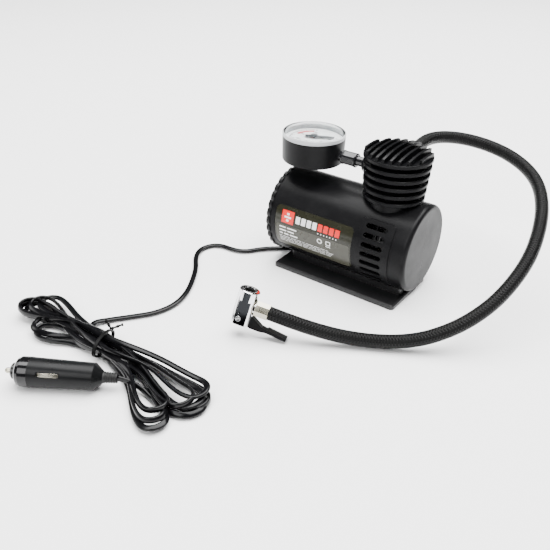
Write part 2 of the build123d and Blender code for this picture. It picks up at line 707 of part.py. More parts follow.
with BuildPart() as outlet_valve:
    with BuildSketch(Plane.XY.offset(VALVE_PLATE_TOP_Z)):
        with Locations((HEAD_X, 0)):
            Circle(VALVE_DISC_RADIUS)
    extrude(amount=1.2)
    with BuildSketch(Plane.XY.offset(VALVE_PLATE_TOP_Z)):
        with Locations((HEAD_X, 0)):
            Circle(2.0)
    extrude(amount=3.4)
save(outlet_valve, "outlet_valve")

# drawn at its shortest working length, with the disc fully lifted
VALVE_LIFT = 0.8
SPRING_BOTTOM_Z = VALVE_PLATE_TOP_Z + 1.2 + VALVE_LIFT
SPRING_TURNS = 5
SPRING_WIRE_RADIUS = 0.35
with BuildPart() as valve_spring:
    spring_height = CHAMBER_TOP_Z - SPRING_BOTTOM_Z - 2 * SPRING_WIRE_RADIUS
    with BuildLine():
        coil = Helix(
            pitch=spring_height / SPRING_TURNS,
            height=spring_height,
            radius=2.9,
            center=(HEAD_X, 0, SPRING_BOTTOM_Z + SPRING_WIRE_RADIUS),
        )
    with BuildSketch(Plane(coil @ 0, z_dir=coil % 0)):
        Circle(SPRING_WIRE_RADIUS)
    sweep(is_frenet=True)
save(valve_spring, "valve_spring")


# ---------------------------------------------------------------- finned pump head
BOSS_OUTER = 6.6
GAUGE_PORT_RADIUS = 3.4

with BuildPart() as top_fins:
    for index in range(TOP_FIN_COUNT):
        offset = (index - (TOP_FIN_COUNT - 1) / 2) * TOP_FIN_PITCH
        chord_offset = abs(offset) + TOP_FIN_THICKNESS / 2
        half_length = ((HEAD_TOP_RADIUS - 0.7) ** 2 - chord_offset**2) ** 0.5
        crown = (TOP_FIN_CENTRE_Z - TOP_FIN_EDGE_Z) * (half_length / HEAD_TOP_RADIUS) ** 2
        with BuildSketch(Plane.YZ.offset(HEAD_X + offset - TOP_FIN_THICKNESS / 2)):
            with BuildLine():
                Polyline(
                    (-half_length, TOP_FIN_EDGE_Z),
                    (-half_length, DECK_TOP_Z - 1),
                    (half_length, DECK_TOP_Z - 1),
                    (half_length, TOP_FIN_EDGE_Z),
                )
                ThreePointArc(
                    (half_length, TOP_FIN_EDGE_Z),
                    (0, TOP_FIN_EDGE_Z + crown),
                    (-half_length, TOP_FIN_EDGE_Z),
                )
            make_face()
        extrude(amount=TOP_FIN_THICKNESS)

with BuildPart() as cylinder_head:
    with BuildSketch(Plane.XY.offset(SHELF_TOP_Z)):
        with Locations((HEAD_X, 0)):
            Circle(HEAD_CORE_RADIUS)
    extrude(amount=DECK_TOP_Z - SHELF_TOP_Z - 1)
    for ring in range(RING_COUNT):
        ring_top = DECK_TOP_Z - RING_PITCH * ring
        ring_radius = HEAD_TOP_RADIUS - RING_TAPER * ring
        with BuildSketch(Plane.XY.offset(ring_top - RING_THICKNESS)):
            with Locations((HEAD_X, 0)):
                Circle(ring_radius)
        extrude(amount=RING_THICKNESS)
        rim = cylinder_head.edges().filter_by(GeomType.CIRCLE).filter_by(
            lambda edge: abs(edge.radius - ring_radius) < 0.01
        )
        chamfer(rim, 0.6)
    add(top_fins.part)
    # bosses for the gauge connector and the hose connector
    with BuildSketch(Plane.YZ.offset(HEAD_X - HEAD_TOP_RADIUS - 0.6)):
        with Locations((0, GAUGE_LINE_Z)):
            Circle(BOSS_OUTER)
    extrude(amount=HEAD_TOP_RADIUS)
    with BuildSketch(Plane.XZ.offset(-HOSE_EXIT_Y + 6)):
        with Locations((HOSE_EXIT_X, HOSE_EXIT_Z)):
            Circle(BOSS_OUTER)
    extrude(amount=HOSE_EXIT_Y - 8)
    # bore for the flange, the sleeve and the valve plate, then the outlet chamber
    for radius, bottom, top in (
        (15.1, SHELF_TOP_Z, FLANGE_TOP_Z),
        (SLEEVE_OUTER_RADIUS + 0.05, FLANGE_TOP_Z, VALVE_PLATE_TOP_Z),
        (CHAMBER_RADIUS, VALVE_PLATE_TOP_Z, CHAMBER_TOP_Z),
    ):
        with BuildSketch(Plane.XY.offset(bottom)):
            with Locations((HEAD_X, 0)):
                Circle(radius)
        extrude(amount=top - bottom, mode=Mode.SUBTRACT)
    with BuildSketch(Plane.XY.offset(SHELF_TOP_Z)):
        with Locations((HEAD_X, 0)):
            with PolarLocations(HEAD_SCREW_RADIUS, 4, start_angle=45):
                Circle(PILOT_RADIUS)
    extrude(amount=10, mode=Mode.SUBTRACT)
    with BuildSketch(Plane.YZ.offset(HEAD_X - HEAD_TOP_RADIUS - 2)):
        with Locations((0, GAUGE_LINE_Z)):
            Circle(GAUGE_PORT_RADIUS)
    extrude(amount=HEAD_TOP_RADIUS + 2, mode=Mode.SUBTRACT)
    with BuildSketch(Plane.XZ.offset(-HOSE_EXIT_Y)):
        with Locations((HOSE_EXIT_X, HOSE_EXIT_Z)):
            Circle(GAUGE_PORT_RADIUS)
    extrude(amount=HOSE_EXIT_Y, mode=Mode.SUBTRACT)
save(cylinder_head, "cylinder_head")


# ---------------------------------------------------------------- pressure gauge
CASE_WALL = 2.0
CASE_BOTTOM_RADIUS = GAUGE_RADIUS - 0.5
STEM_RADIUS = 4.0
NUT_LEFT_X = -20.8
NUT_RIGHT_X = -6.9
NUT_RADIUS = 5.9
DIAL_RADIUS = 24.2
NEEDLE_Z = 110.3
NEEDLE_LENGTH = 17.0
NEEDLE_TAIL = 7.5
TAIL_HALF_WIDTH = 2.0
POINTER_HALF_WIDTH = 1.5
HUB_RADIUS = 3.0
MOVEMENT_Z = 103.0

gauge_axis = Axis((GAUGE_X, 0, 0), (0, 0, 1))
gauge_plane = Plane((GAUGE_X, 0, 0), x_dir=(1, 0, 0), z_dir=(0, -1, 0))

with BuildPart() as gauge_case:
    with BuildSketch(gauge_plane):
        with BuildLine():
            Polyline(
                (0, GAUGE_BOTTOM_Z),
                (CASE_BOTTOM_RADIUS, GAUGE_BOTTOM_Z),
                (GAUGE_RADIUS, GAUGE_CASE_TOP_Z),
                (GAUGE_RADIUS - CASE_WALL, GAUGE_CASE_TOP_Z),
                (GAUGE_RADIUS - CASE_WALL, GAUGE_BOTTOM_Z + CASE_WALL),
                (0, GAUGE_BOTTOM_Z + CASE_WALL),
                close=True,
            )
        make_face()
    revolve(axis=gauge_axis)
    fillet(gauge_case.edges().filter_by(GeomType.CIRCLE).group_by(Axis.Z)[0], 1.8)
    with BuildSketch(Plane.YZ.offset(GAUGE_X + 15)):
        with Locations((0, GAUGE_LINE_Z)):
            Circle(STEM_RADIUS + 0.05)
    extrude(amount=20, mode=Mode.SUBTRACT)
save(gauge_case, "gauge_case")

with BuildPart() as gauge_lens:
    with BuildSketch(gauge_plane):
        with BuildLine():
            Polyline(
                (0, GAUGE_LENS_TOP_Z - 1.2),
                (GAUGE_RADIUS - 3.6, GAUGE_LENS_TOP_Z - 1.2),
                (GAUGE_RADIUS - 2.8, GAUGE_LENS_TOP_Z),
                (GAUGE_RADIUS - 0.9, GAUGE_LENS_TOP_Z),
                (GAUGE_RADIUS, GAUGE_LENS_TOP_Z - 0.9),
                (GAUGE_RADIUS, GAUGE_CASE_TOP_Z),
                (GAUGE_RADIUS - CASE_WALL, GAUGE_CASE_TOP_Z),
                (GAUGE_RADIUS - CASE_WALL, GAUGE_LENS_TOP_Z - 2.4),
                (0, GAUGE_LENS_TOP_Z - 2.4),
                close=True,
            )
        make_face()
    revolve(axis=gauge_axis)
save(gauge_lens, "gauge_lens")

with BuildPart() as gauge_dial:
    with BuildSketch(Plane.XY.offset(DIAL_Z - 0.8)):
        with Locations((GAUGE_X, 0)):
            Circle(DIAL_RADIUS)
            Circle(1.3, mode=Mode.SUBTRACT)
    extrude(amount=0.8)
save(gauge_dial, "gauge_dial")

with BuildPart() as gauge_needle:
    needle_plane = Plane((GAUGE_X, 0, NEEDLE_Z)).rotated((0, 0, NEEDLE_REST_ANGLE))
    with BuildSketch(needle_plane):
        with BuildLine():
            Polyline(
                (-NEEDLE_TAIL, -TAIL_HALF_WIDTH),
                (0, -TAIL_HALF_WIDTH),
                (NEEDLE_LENGTH, -POINTER_HALF_WIDTH),
                (NEEDLE_LENGTH, POINTER_HALF_WIDTH),
                (0, TAIL_HALF_WIDTH),
                (-NEEDLE_TAIL, TAIL_HALF_WIDTH),
                close=True,
            )
        make_face()
    extrude(amount=0.5)
    with BuildSketch(needle_plane):
        Circle(HUB_RADIUS)
    extrude(amount=1.4)
    with BuildSketch(Plane.XY.offset(MOVEMENT_Z - 1)):
        with Locations((GAUGE_X, 0)):
            Circle(0.8)
    extrude(amount=NEEDLE_Z - MOVEMENT_Z + 1)
save(gauge_needle, "gauge_needle")

with BuildPart() as gauge_movement:
    with BuildSketch(Plane.XY.offset(MOVEMENT_Z)):
        with Locations((GAUGE_X, 0)):
            RectangleRounded(20, 12, 2)
            Circle(0.85, mode=Mode.SUBTRACT)
    extrude(amount=1.6)
    with BuildSketch(Plane.XY.offset(GAUGE_BOTTOM_Z + CASE_WALL)):
        with Locations((GAUGE_X - 8, 0), (GAUGE_X + 8, 0)):
            Circle(1.6)
    extrude(amount=MOVEMENT_Z - GAUGE_BOTTOM_Z - CASE_WALL)
    with BuildSketch(Plane.XY.offset(MOVEMENT_Z + 1.6)):
        with Locations((GAUGE_X - 8, 0), (GAUGE_X + 8, 0)):
            Circle(1.6)
    extrude(amount=DIAL_Z - 0.8 - MOVEMENT_Z - 1.6)
save(gauge_movement, "gauge_movement")

# The curved tube is brazed into its socket, which leaves the case through the side hole.
TUBE_ARC_RADIUS = 15.0
with BuildPart() as gauge_bourdon_tube:
    with BuildLine():
        CenterArc((GAUGE_X, 0, GAUGE_LINE_Z), TUBE_ARC_RADIUS, 0, 270)
    with BuildSketch(Plane((GAUGE_X + TUBE_ARC_RADIUS, 0, GAUGE_LINE_Z), z_dir=(0, 1, 0))):
        Ellipse(1.2, 2.2)
    sweep()
    with BuildSketch(Plane.YZ.offset(GAUGE_X + TUBE_ARC_RADIUS)):
        with Locations((0, GAUGE_LINE_Z)):
            Circle(STEM_RADIUS)
    extrude(amount=NUT_LEFT_X - GAUGE_X - TUBE_ARC_RADIUS)
save(gauge_bourdon_tube, "gauge_bourdon_tube")

with BuildPart() as gauge_nut:
    with BuildSketch(Plane.YZ.offset(NUT_LEFT_X)):
        with Locations((0, GAUGE_LINE_Z)):
            Circle(NUT_RADIUS)
            Circle(2.0, mode=Mode.SUBTRACT)
    extrude(amount=NUT_RIGHT_X - NUT_LEFT_X)
    chamfer(gauge_nut.faces().sort_by(Axis.X)[-1].outer_wire().edges(), 0.7)
    chamfer(gauge_nut.faces().sort_by(Axis.X)[0].outer_wire().edges(), 0.7)
    for turn in range(6):
        outward = (0, cos(radians(60 * turn)), sin(radians(60 * turn)))
        nut_flat = Plane((0, 0, GAUGE_LINE_Z), x_dir=(1, 0, 0), z_dir=outward)
        with BuildSketch(nut_flat.offset(NUT_RADIUS * 0.93)):
            with Locations(((NUT_LEFT_X + NUT_RIGHT_X) / 2, 0)):
                Rectangle(NUT_RIGHT_X - NUT_LEFT_X - 3, 2 * NUT_RADIUS)
        extrude(amount=3, mode=Mode.SUBTRACT)
save(gauge_nut, "gauge_nut")

HEAD_BOSS_LEFT_X = HEAD_X - HEAD_TOP_RADIUS - 0.6
with BuildPart() as gauge_nipple:
    with BuildSketch(Plane.YZ.offset(NUT_RIGHT_X)):
        with Locations((0, GAUGE_LINE_Z)):
            Circle(STEM_RADIUS)
    extrude(amount=HEAD_BOSS_LEFT_X - NUT_RIGHT_X)
    with BuildSketch(Plane.YZ.offset(HEAD_BOSS_LEFT_X)):
        with Locations((0, GAUGE_LINE_Z)):
            Circle(GAUGE_PORT_RADIUS - 0.03)
    extrude(amount=10)
    with BuildSketch(Plane.YZ.offset(NUT_RIGHT_X)):
        with Locations((0, GAUGE_LINE_Z)):
            Circle(1.6)
    extrude(amount=30, mode=Mode.SUBTRACT)
save(gauge_nipple, "gauge_nipple")


# ---------------------------------------------------------------- air hose
def arc_radii(points):
    """The largest tangent arc for each inner corner: 0.45 of the shorter run over tan(half turn)."""
    corners = [Vector(*point) for point in points]
    radii = []
    for before, here, after in zip(corners, corners[1:], corners[2:]):
        run_in = here - before
        run_out = after - here
        shorter = min(run_in.length, run_out.length)
        radii.append(0.45 * shorter / tan(radians(run_in.get_angle(run_out)) / 2))
    return radii


def cord_tube(points, radius, name):
    """A round tube along straight runs joined by tangent arcs, with its radii printed."""
    radii = arc_radii(points)
    with BuildPart() as tube:
        with BuildLine() as route:
            FilletPolyline(*points, radius=radii)
        path = route.wire()
        with BuildSketch(Plane(path @ 0, z_dir=path % 0)):
            Circle(radius)
        sweep(path=path)
    length = path.length
    print(name, "length", round(length, 1), "arc radii", [round(value, 1) for value in radii])
    print(name, "volume over section times length", round(tube.part.volume / (3.141593 * radius**2 * length), 4))
    return tube


# The stiff hose holds the chuck just off the floor, mouth up, with its lever's tip nearly down.
CHUCK_FOOT = (-20.8, -137.1, 10.0)
CHUCK_UP = (0.107, 0.316, 0.943)
CHUCK_TO_HOSE = (0.916, 0.338, -0.217)
CHUCK_PORT_HEIGHT = 15.0
FERRULE_START = 8.1
FERRULE_END = 18.5
chuck_plane = Plane(CHUCK_FOOT, x_dir=CHUCK_TO_HOSE, z_dir=CHUCK_UP)
hose_end = tuple(chuck_plane.from_local_coords((FERRULE_END, 0, CHUCK_PORT_HEIGHT)))

HOSE_ROUTE = [
    (HOSE_EXIT_X, HOSE_EXIT_Y, HOSE_EXIT_Z),
    (22, 56, 107.5),
    (28, 82, 106.5),
    (47, 102.5, 102.5),
    (74, 111, 96.5),
    (98, 105.5, 90),
    (116, 90.5, 83.5),
    (128.5, 67, 76),
    (136, 42, 66.5),
    (140, 14, 55),
    (137.5, -14, 43),
    (130, -36, 30.5),
    (115, -58.5, 18),
    (92, -78.5, 8),
    (58, -97.5, 5.6),
    (24, -117, 13.5),
    hose_end,
]
hose_tube = cord_tube(HOSE_ROUTE, HOSE_RADIUS, "hose")
save(hose_tube, "hose_tube")

with BuildPart() as hose_fitting:
    with BuildSketch(Plane.XZ.offset(-HOSE_EXIT_Y)):
        with Locations((HOSE_EXIT_X, HOSE_EXIT_Z)):
            RegularPolygon(radius=6.8, side_count=6)
    extrude(amount=6)
    with BuildSketch(Plane.XZ.offset(-HOSE_EXIT_Y + 6)):
        with Locations((HOSE_EXIT_X, HOSE_EXIT_Z)):
            Circle(GAUGE_PORT_RADIUS - 0.03)
    extrude(amount=10)
    with BuildSketch(Plane.XZ.offset(-HOSE_EXIT_Y + 2)):
        with Locations((HOSE_EXIT_X, HOSE_EXIT_Z)):
            Circle(1.6)
    extrude(amount=20, mode=Mode.SUBTRACT)
save(hose_fitting, "hose_fitting")


# ---------------------------------------------------------------- thumb-lock chuck
CHUCK_RADIUS = 7.9
CHUCK_HEIGHT = 27.5
FLAT_DISTANCE = 6.5
FLAT_TOP = 19.5
PORT_RADIUS = 4.4
MOUTH_RADIUS = 5.2
MOUTH_FLOOR = 17.5
SEAL_BOTTOM = 20.3
SEAL_TOP = 26.9
STEM_HOLE_RADIUS = 3.95
LEVER_WIDTH = 5.6
LEVER_SLOT = 6.2
SLOT_START = -6.2
SLOT_TOP = 8.8
LEVER_PIVOT = (-1.5, 5.0)
PIVOT_RADIUS = 1.5
PIVOT_HEAD_RADIUS = 2.1
PIVOT_HEAD_HEIGHT = 0.6
DIMPLE_HEIGHT = 9.8
PLUNGER_RADIUS = 2.2
PLUNGER_BOTTOM = 8.9
PLUNGER_DISC_BOTTOM = 18.7
PLUNGER_TOP = 20.0

chuck_side = Plane(
    chuck_plane.from_local_coords((0, 0, 0)),
    x_dir=chuck_plane.x_dir,
    z_dir=-chuck_plane.y_dir,
)
port_plane = Plane(
    chuck_plane.from_local_coords((0, 0, CHUCK_PORT_HEIGHT)),
    x_dir=chuck_plane.y_dir,
    z_dir=chuck_plane.x_dir,
)

with BuildPart() as chuck_body:
    with BuildSketch(chuck_plane):
        Circle(CHUCK_RADIUS)
    extrude(amount=CHUCK_HEIGHT)
    chamfer(chuck_body.edges().filter_by(GeomType.CIRCLE), 0.5)
    # a flat on each side of the lower body
    for outward in (1, -1):
        with BuildSketch(chuck_side.offset(outward * FLAT_DISTANCE)):
            with Locations((0, -1)):
                Rectangle(30, FLAT_TOP + 1, align=(Align.CENTER, Align.MIN))
        extrude(amount=outward * CHUCK_RADIUS, mode=Mode.SUBTRACT)
    with BuildSketch(port_plane):
        Circle(PORT_RADIUS)
    extrude(amount=FERRULE_START)
    with BuildSketch(chuck_plane.offset(MOUTH_FLOOR)):
        Circle(MOUTH_RADIUS)
    extrude(amount=CHUCK_HEIGHT, mode=Mode.SUBTRACT)
    with BuildSketch(chuck_plane.offset(-1)):
        Circle(PLUNGER_RADIUS + 0.05)
    extrude(amount=CHUCK_HEIGHT, mode=Mode.SUBTRACT)
    # slot for the lever, open below and towards the hose
    with BuildSketch(chuck_side.offset(-LEVER_SLOT / 2)):
        with Locations((SLOT_START, -1)):
            Rectangle(20, SLOT_TOP + 1, align=(Align.MIN, Align.MIN))
    extrude(amount=LEVER_SLOT, mode=Mode.SUBTRACT)
    with BuildSketch(chuck_side.offset(-CHUCK_RADIUS)):
        with Locations(LEVER_PIVOT):
            Circle(PIVOT_RADIUS)
    extrude(amount=2 * CHUCK_RADIUS, mode=Mode.SUBTRACT)
    # a shallow dimple above the pivot
    with BuildSketch(chuck_side.offset(FLAT_DISTANCE)):
        with Locations((LEVER_PIVOT[0], DIMPLE_HEIGHT)):
            Circle(0.9)
    extrude(amount=-1.2, mode=Mode.SUBTRACT)
save(chuck_body, "chuck_body")

with BuildPart() as chuck_seal:
    with BuildSketch(chuck_plane.offset(SEAL_BOTTOM)):
        Circle(MOUTH_RADIUS - 0.03)
        Circle(STEM_HOLE_RADIUS, mode=Mode.SUBTRACT)
    extrude(amount=SEAL_TOP - SEAL_BOTTOM)
save(chuck_seal, "chuck_seal")

with BuildPart() as chuck_plunger:
    for radius, bottom, top in (
        (PLUNGER_RADIUS, PLUNGER_BOTTOM, PLUNGER_DISC_BOTTOM),
        (3.6, PLUNGER_DISC_BOTTOM, PLUNGER_DISC_BOTTOM + 0.6),
        (1.0, PLUNGER_DISC_BOTTOM + 0.6, PLUNGER_TOP),
    ):
        with BuildSketch(chuck_plane.offset(bottom)):
            Circle(radius)
        extrude(amount=top - bottom)
save(chuck_plunger, "chuck_plunger")

with BuildPart() as chuck_pivot_pin:
    with BuildSketch(chuck_side.offset(-FLAT_DISTANCE)):
        with Locations(LEVER_PIVOT):
            Circle(PIVOT_RADIUS - 0.02)
    extrude(amount=2 * FLAT_DISTANCE)
    for outward in (1, -1):
        with BuildSketch(chuck_side.offset(outward * FLAT_DISTANCE)):
            with Locations(LEVER_PIVOT):
                Circle(PIVOT_HEAD_RADIUS)
        extrude(amount=outward * PIVOT_HEAD_HEIGHT)
    with BuildSketch(chuck_side.offset(FLAT_DISTANCE + 0.2)):
        with Locations(LEVER_PIVOT):
            Rectangle(5, 0.7, rotation=35)
    extrude(amount=1, mode=Mode.SUBTRACT)
save(chuck_pivot_pin, "chuck_pivot_pin")

LEVER_PAD_WIDTH = 8.4
with BuildPart() as chuck_lever:
    with BuildSketch(chuck_side.offset(-LEVER_WIDTH / 2)):
        with BuildLine():
            Polyline(
                (LEVER_PIVOT[0] - 2.0, LEVER_PIVOT[1] - 2.6),
                (3, 0.8),
                (8.5, -1.0),
                (16, -1.0),
                (23, 0.3),
                (23.2, 2.2),
                (17, 3.0),
                (8.5, 8.0),
                (LEVER_PIVOT[0] + 2.4, LEVER_PIVOT[1] + 2.8),
                (LEVER_PIVOT[0] - 2.0, LEVER_PIVOT[1] + 2.4),
                close=True,
            )
        make_face()
        with Locations(LEVER_PIVOT):
            Circle(PIVOT_RADIUS + 0.05, mode=Mode.SUBTRACT)
    extrude(amount=LEVER_WIDTH)
    # the thumb pad is wider than the arm
    with BuildSketch(chuck_side.offset(-LEVER_PAD_WIDTH / 2)):
        with BuildLine():
            Polyline((21, 0.5), (37, -0.8), (37.2, 1.1), (21.3, 2.9), close=True)
        make_face()
    extrude(amount=LEVER_PAD_WIDTH)
save(chuck_lever, "chuck_lever")

FERRULE_RADIUS = 6.3
with BuildPart() as hose_ferrule:
    with BuildSketch(port_plane.offset(FERRULE_START)):
        RegularPolygon(radius=FERRULE_RADIUS, side_count=8)
        Circle(2.0, mode=Mode.SUBTRACT)
    extrude(amount=FERRULE_END - FERRULE_START)
save(hose_ferrule, "hose_ferrule")


# ---------------------------------------------------------------- supply cable and its hank
CABLE_ROUTE = [
    (CABLE_EXIT_X, CABLE_EXIT_Y, CABLE_Z),
    (-71, -12, CABLE_Z),
    (-84, -24, CABLE_Z),
    (-91, -35.5, CABLE_Z),
    (-98, -40.5, CABLE_Z),
    (-107, -42, CABLE_Z),
    (-118, -42.5, CABLE_Z),
    (-125.5, -49.5, CABLE_Z),
    (-127.5, -61, CABLE_Z),
    (-121, -74, CABLE_Z),
    (-108, -88, CABLE_Z),
    (-97, -105, CABLE_Z),
    (-88, -122, CABLE_Z),
    (-83.5, -140, CABLE_Z),
    (-87, -158, CABLE_Z),
    (-97, -172, CABLE_Z),
    (-108, -186, CABLE_Z),
    (-117, -202, CABLE_Z + 1.5),
]
cable_tube = cord_tube(CABLE_ROUTE, CABLE_RADIUS, "cable")
save(cable_tube, "cable_tube")

HANK_HEIGHT = 14.0
HANK_OUTLINE = [
    (-168, -227),
    (-172, -213),
    (-163, -197),
    (-140, -200),
    (-120, -203),
    (-104, -205),
    (-91, -203),
    (-80, -199),
    (-69, -193),
    (-54, -193),
    (-36, -196),
    (-20, -197),
    (-6, -192),
    (6, -197),
    (12, -208),
    (12, -222),
    (6, -236),
    (6, -252),
    (-6, -252),
    (-22, -246),
    (-33, -237),
    (-44, -227),
    (-58, -227),
    (-76, -228),
    (-88, -230),
    (-98, -240),
    (-115, -241),
    (-132, -238),
    (-155, -238),
]
with BuildPart() as cable_hank:
    with BuildSketch(Plane.XY):
        with BuildLine():
            Spline(*HANK_OUTLINE, periodic=True)
        make_face()
    extrude(amount=HANK_HEIGHT)
save(cable_hank, "cable_hank")

TIE_CENTRE = (-84.0, -215.0, 7.6)
tie_plane = Plane(TIE_CENTRE, x_dir=(-0.3, 0.95, 0), z_dir=(0.95, 0.3, 0))
with BuildPart() as cable_tie:
    with BuildSketch(tie_plane.offset(-1.2)):
        Ellipse(14.2, 7.5)
        Ellipse(13.0, 6.4, mode=Mode.SUBTRACT)
    extrude(amount=2.4)
save(cable_tie, "cable_tie")


# ---------------------------------------------------------------- lighter-socket plug
PLUG_TIP = (-109.8, -277.7, 10.9)
PLUG_DIRECTION = (0.8395, 0.5422, -0.0256)
PLUG_CONTACT_SIDE = (0.474, -0.71, 0.52)
plug_plane = Plane(PLUG_TIP, x_dir=PLUG_CONTACT_SIDE, z_dir=PLUG_DIRECTION)
plug_section = Plane(PLUG_TIP, x_dir=plug_plane.z_dir, z_dir=plug_plane.y_dir)
plug_axis = Axis(plug_plane.origin, plug_plane.z_dir)

COLLAR_START = 4.9
CAP_START = 8.3
CAP_END = 17.7
BODY_END = 60.6
CONE_END = 66.1
RELIEF_END = 75.7
CAP_RADIUS = 10.3
BODY_END_RADIUS = 9.2
RELIEF_RADIUS = 3.9
FUSE_RADIUS = 3.15
FUSE_START = 12.0
FUSE_END = 44.2
FUSE_BORE_RADIUS = 3.5
TIP_TRAVEL = 2.5
SPRING_SPACE_END = 52.0
CONTACT_START = 24.5
CONTACT_END = 38.7
CONTACT_WIDTH = 2.5
CONTACT_INNER = 7.4
CONTACT_OUTER = 10.7


def turned(outline):
    """Revolve an outline of (distance along the plug, radius) points about the plug's axis."""
    with BuildPart() as piece:
        with BuildSketch(plug_section):
            with BuildLine():
                Polyline(*outline, close=True)
            make_face()
        revolve(axis=plug_axis)
    return piece


plug_nose_cap = turned(
    [
        (COLLAR_START, 2.05),
        (COLLAR_START, 4.6),
        (COLLAR_START + 0.9, 5.5),
        (CAP_START, 5.5),
        (CAP_START, 7.6),
        (CAP_START + 1.2, 9.2),
        (CAP_START + 3.4, CAP_RADIUS - 0.1),
        (CAP_END, CAP_RADIUS),
        (CAP_END, FUSE_BORE_RADIUS),
        (CAP_START + 1.9, FUSE_BORE_RADIUS),
        (CAP_START + 1.9, 2.05),
    ]
)
save(plug_nose_cap, "plug_nose_cap")

plug_blank = turned(
    [
        (CAP_END, FUSE_BORE_RADIUS),
        (CAP_END, CAP_RADIUS - 0.15),
        (BODY_END, BODY_END_RADIUS),
        (CONE_END, RELIEF_RADIUS + 0.3),
        (CONE_END, 1.5),
        (SPRING_SPACE_END, 1.5),
        (SPRING_SPACE_END, FUSE_BORE_RADIUS),
    ]
)
with BuildPart() as plug_body:
    add(plug_blank.part)
    # a window on each side for the sprung contacts
    for side in (1, -1):
        slot_plane = Plane(
            plug_plane.from_local_coords((side * 6.3, 0, (CONTACT_START + CONTACT_END) / 2)),
            x_dir=plug_plane.z_dir,
            z_dir=plug_plane.x_dir * side,
        )
        with BuildSketch(slot_plane):
            RectangleRounded(CONTACT_END - CONTACT_START + 0.8, CONTACT_WIDTH + 0.6, 0.6)
        extrude(amount=8, mode=Mode.SUBTRACT)
save(plug_body, "plug_body")

relief_outline = [(CONE_END, 1.4), (CONE_END, RELIEF_RADIUS)]
for rib in range(5):
    rib_start = CONE_END + 1.4 + 1.6 * rib
    crest = RELIEF_RADIUS - 0.08 * rib
    relief_outline.append((rib_start, crest))
    relief_outline.append((rib_start + 0.3, crest - 0.4))
    relief_outline.append((rib_start + 0.8, crest - 0.4))
    relief_outline.append((rib_start + 1.1, crest - 0.08))
relief_outline += [(RELIEF_END, 3.3), (RELIEF_END, 1.4)]
plug_strain_relief = turned(relief_outline)
save(plug_strain_relief, "plug_strain_relief")

plug_tip_contact = turned(
    [
        (0, 0),
        (0.3, 1.1),
        (1.0, 1.7),
        (1.8, 1.95),
        (CAP_START + 2.1, 1.95),
        (CAP_START + 2.1, FUSE_RADIUS),
        (FUSE_START, FUSE_RADIUS),
        (FUSE_START, 0),
    ]
)
save(plug_tip_contact, "plug_tip_contact")

plug_fuse = turned([(FUSE_START, 0), (FUSE_START, FUSE_RADIUS), (FUSE_END, FUSE_RADIUS), (FUSE_END, 0)])
save(plug_fuse, "plug_fuse")

with BuildPart() as plug_spring:
    spring_start = FUSE_END + TIP_TRAVEL
    coil_height = SPRING_SPACE_END - spring_start - 1.2
    with BuildLine():
        plug_coil = Helix(
            pitch=coil_height / 3,
            height=coil_height,
            radius=2.5,
            center=plug_plane.from_local_coords((0, 0, spring_start + 0.6)),
            direction=plug_plane.z_dir,
        )
    with BuildSketch(Plane(plug_coil @ 0, z_dir=plug_coil % 0)):
        Circle(0.45)
    sweep(is_frenet=True)
save(plug_spring, "plug_spring")

for side, node in ((1, "plug_side_contact_upper"), (-1, "plug_side_contact_lower")):
    contact_plane = Plane(
        plug_plane.from_local_coords((0, 0, (CONTACT_START + CONTACT_END) / 2)),
        x_dir=plug_plane.z_dir,
        z_dir=plug_plane.y_dir,
    )
    with BuildPart() as side_contact:
        half = (CONTACT_END - CONTACT_START) / 2
        with BuildSketch(contact_plane.offset(-CONTACT_WIDTH / 2)):
            with BuildLine():
                Polyline(
                    (-half, side * CONTACT_INNER),
                    (-half, side * (CONTACT_OUTER - 1.6)),
                    (-half + 3, side * (CONTACT_OUTER - 0.3)),
                    (0, side * CONTACT_OUTER),
                    (half - 3, side * (CONTACT_OUTER - 0.3)),
                    (half, side * (CONTACT_OUTER - 1.6)),
                    (half, side * CONTACT_INNER),
                    close=True,
                )
            make_face()
        extrude(amount=CONTACT_WIDTH)
    save(side_contact, node)

relief_mouth = tuple(plug_plane.from_local_coords((0, 0, RELIEF_END)))
TAIL_ROUTE = [relief_mouth, (-38, -232.3, 7.4), (-29, -231, 4.4), (-19, -233, CABLE_Z)]
cable_tail = cord_tube(TAIL_ROUTE, CABLE_RADIUS, "cable tail")
save(cable_tail, "cable_tail")
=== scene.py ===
"""Looks for the tyre inflator: camera, materials, cords, printed detail, floor and lights.

Sizes are in millimetres, turned into metres with MM, unless a comment or docstring says otherwise.
"""

import json
from math import cos, pi, radians, sin

import bpy
import numpy as np
from mathutils import Matrix, Vector

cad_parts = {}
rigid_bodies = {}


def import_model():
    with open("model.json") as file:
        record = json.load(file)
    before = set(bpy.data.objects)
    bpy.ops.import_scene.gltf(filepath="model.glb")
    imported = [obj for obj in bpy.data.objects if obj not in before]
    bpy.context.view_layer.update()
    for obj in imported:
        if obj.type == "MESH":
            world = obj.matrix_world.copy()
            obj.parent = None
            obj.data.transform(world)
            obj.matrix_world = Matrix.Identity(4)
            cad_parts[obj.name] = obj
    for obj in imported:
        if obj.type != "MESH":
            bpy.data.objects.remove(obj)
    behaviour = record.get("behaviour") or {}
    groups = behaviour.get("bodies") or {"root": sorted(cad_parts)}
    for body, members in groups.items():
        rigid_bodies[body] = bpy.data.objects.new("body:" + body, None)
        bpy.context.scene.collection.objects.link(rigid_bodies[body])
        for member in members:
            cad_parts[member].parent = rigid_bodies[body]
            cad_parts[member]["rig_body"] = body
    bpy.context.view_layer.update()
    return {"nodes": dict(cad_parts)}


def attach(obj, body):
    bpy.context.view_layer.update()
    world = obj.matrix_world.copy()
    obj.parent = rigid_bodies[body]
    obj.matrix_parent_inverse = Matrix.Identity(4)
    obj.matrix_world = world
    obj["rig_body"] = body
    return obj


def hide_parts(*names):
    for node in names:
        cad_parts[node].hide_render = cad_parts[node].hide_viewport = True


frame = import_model()
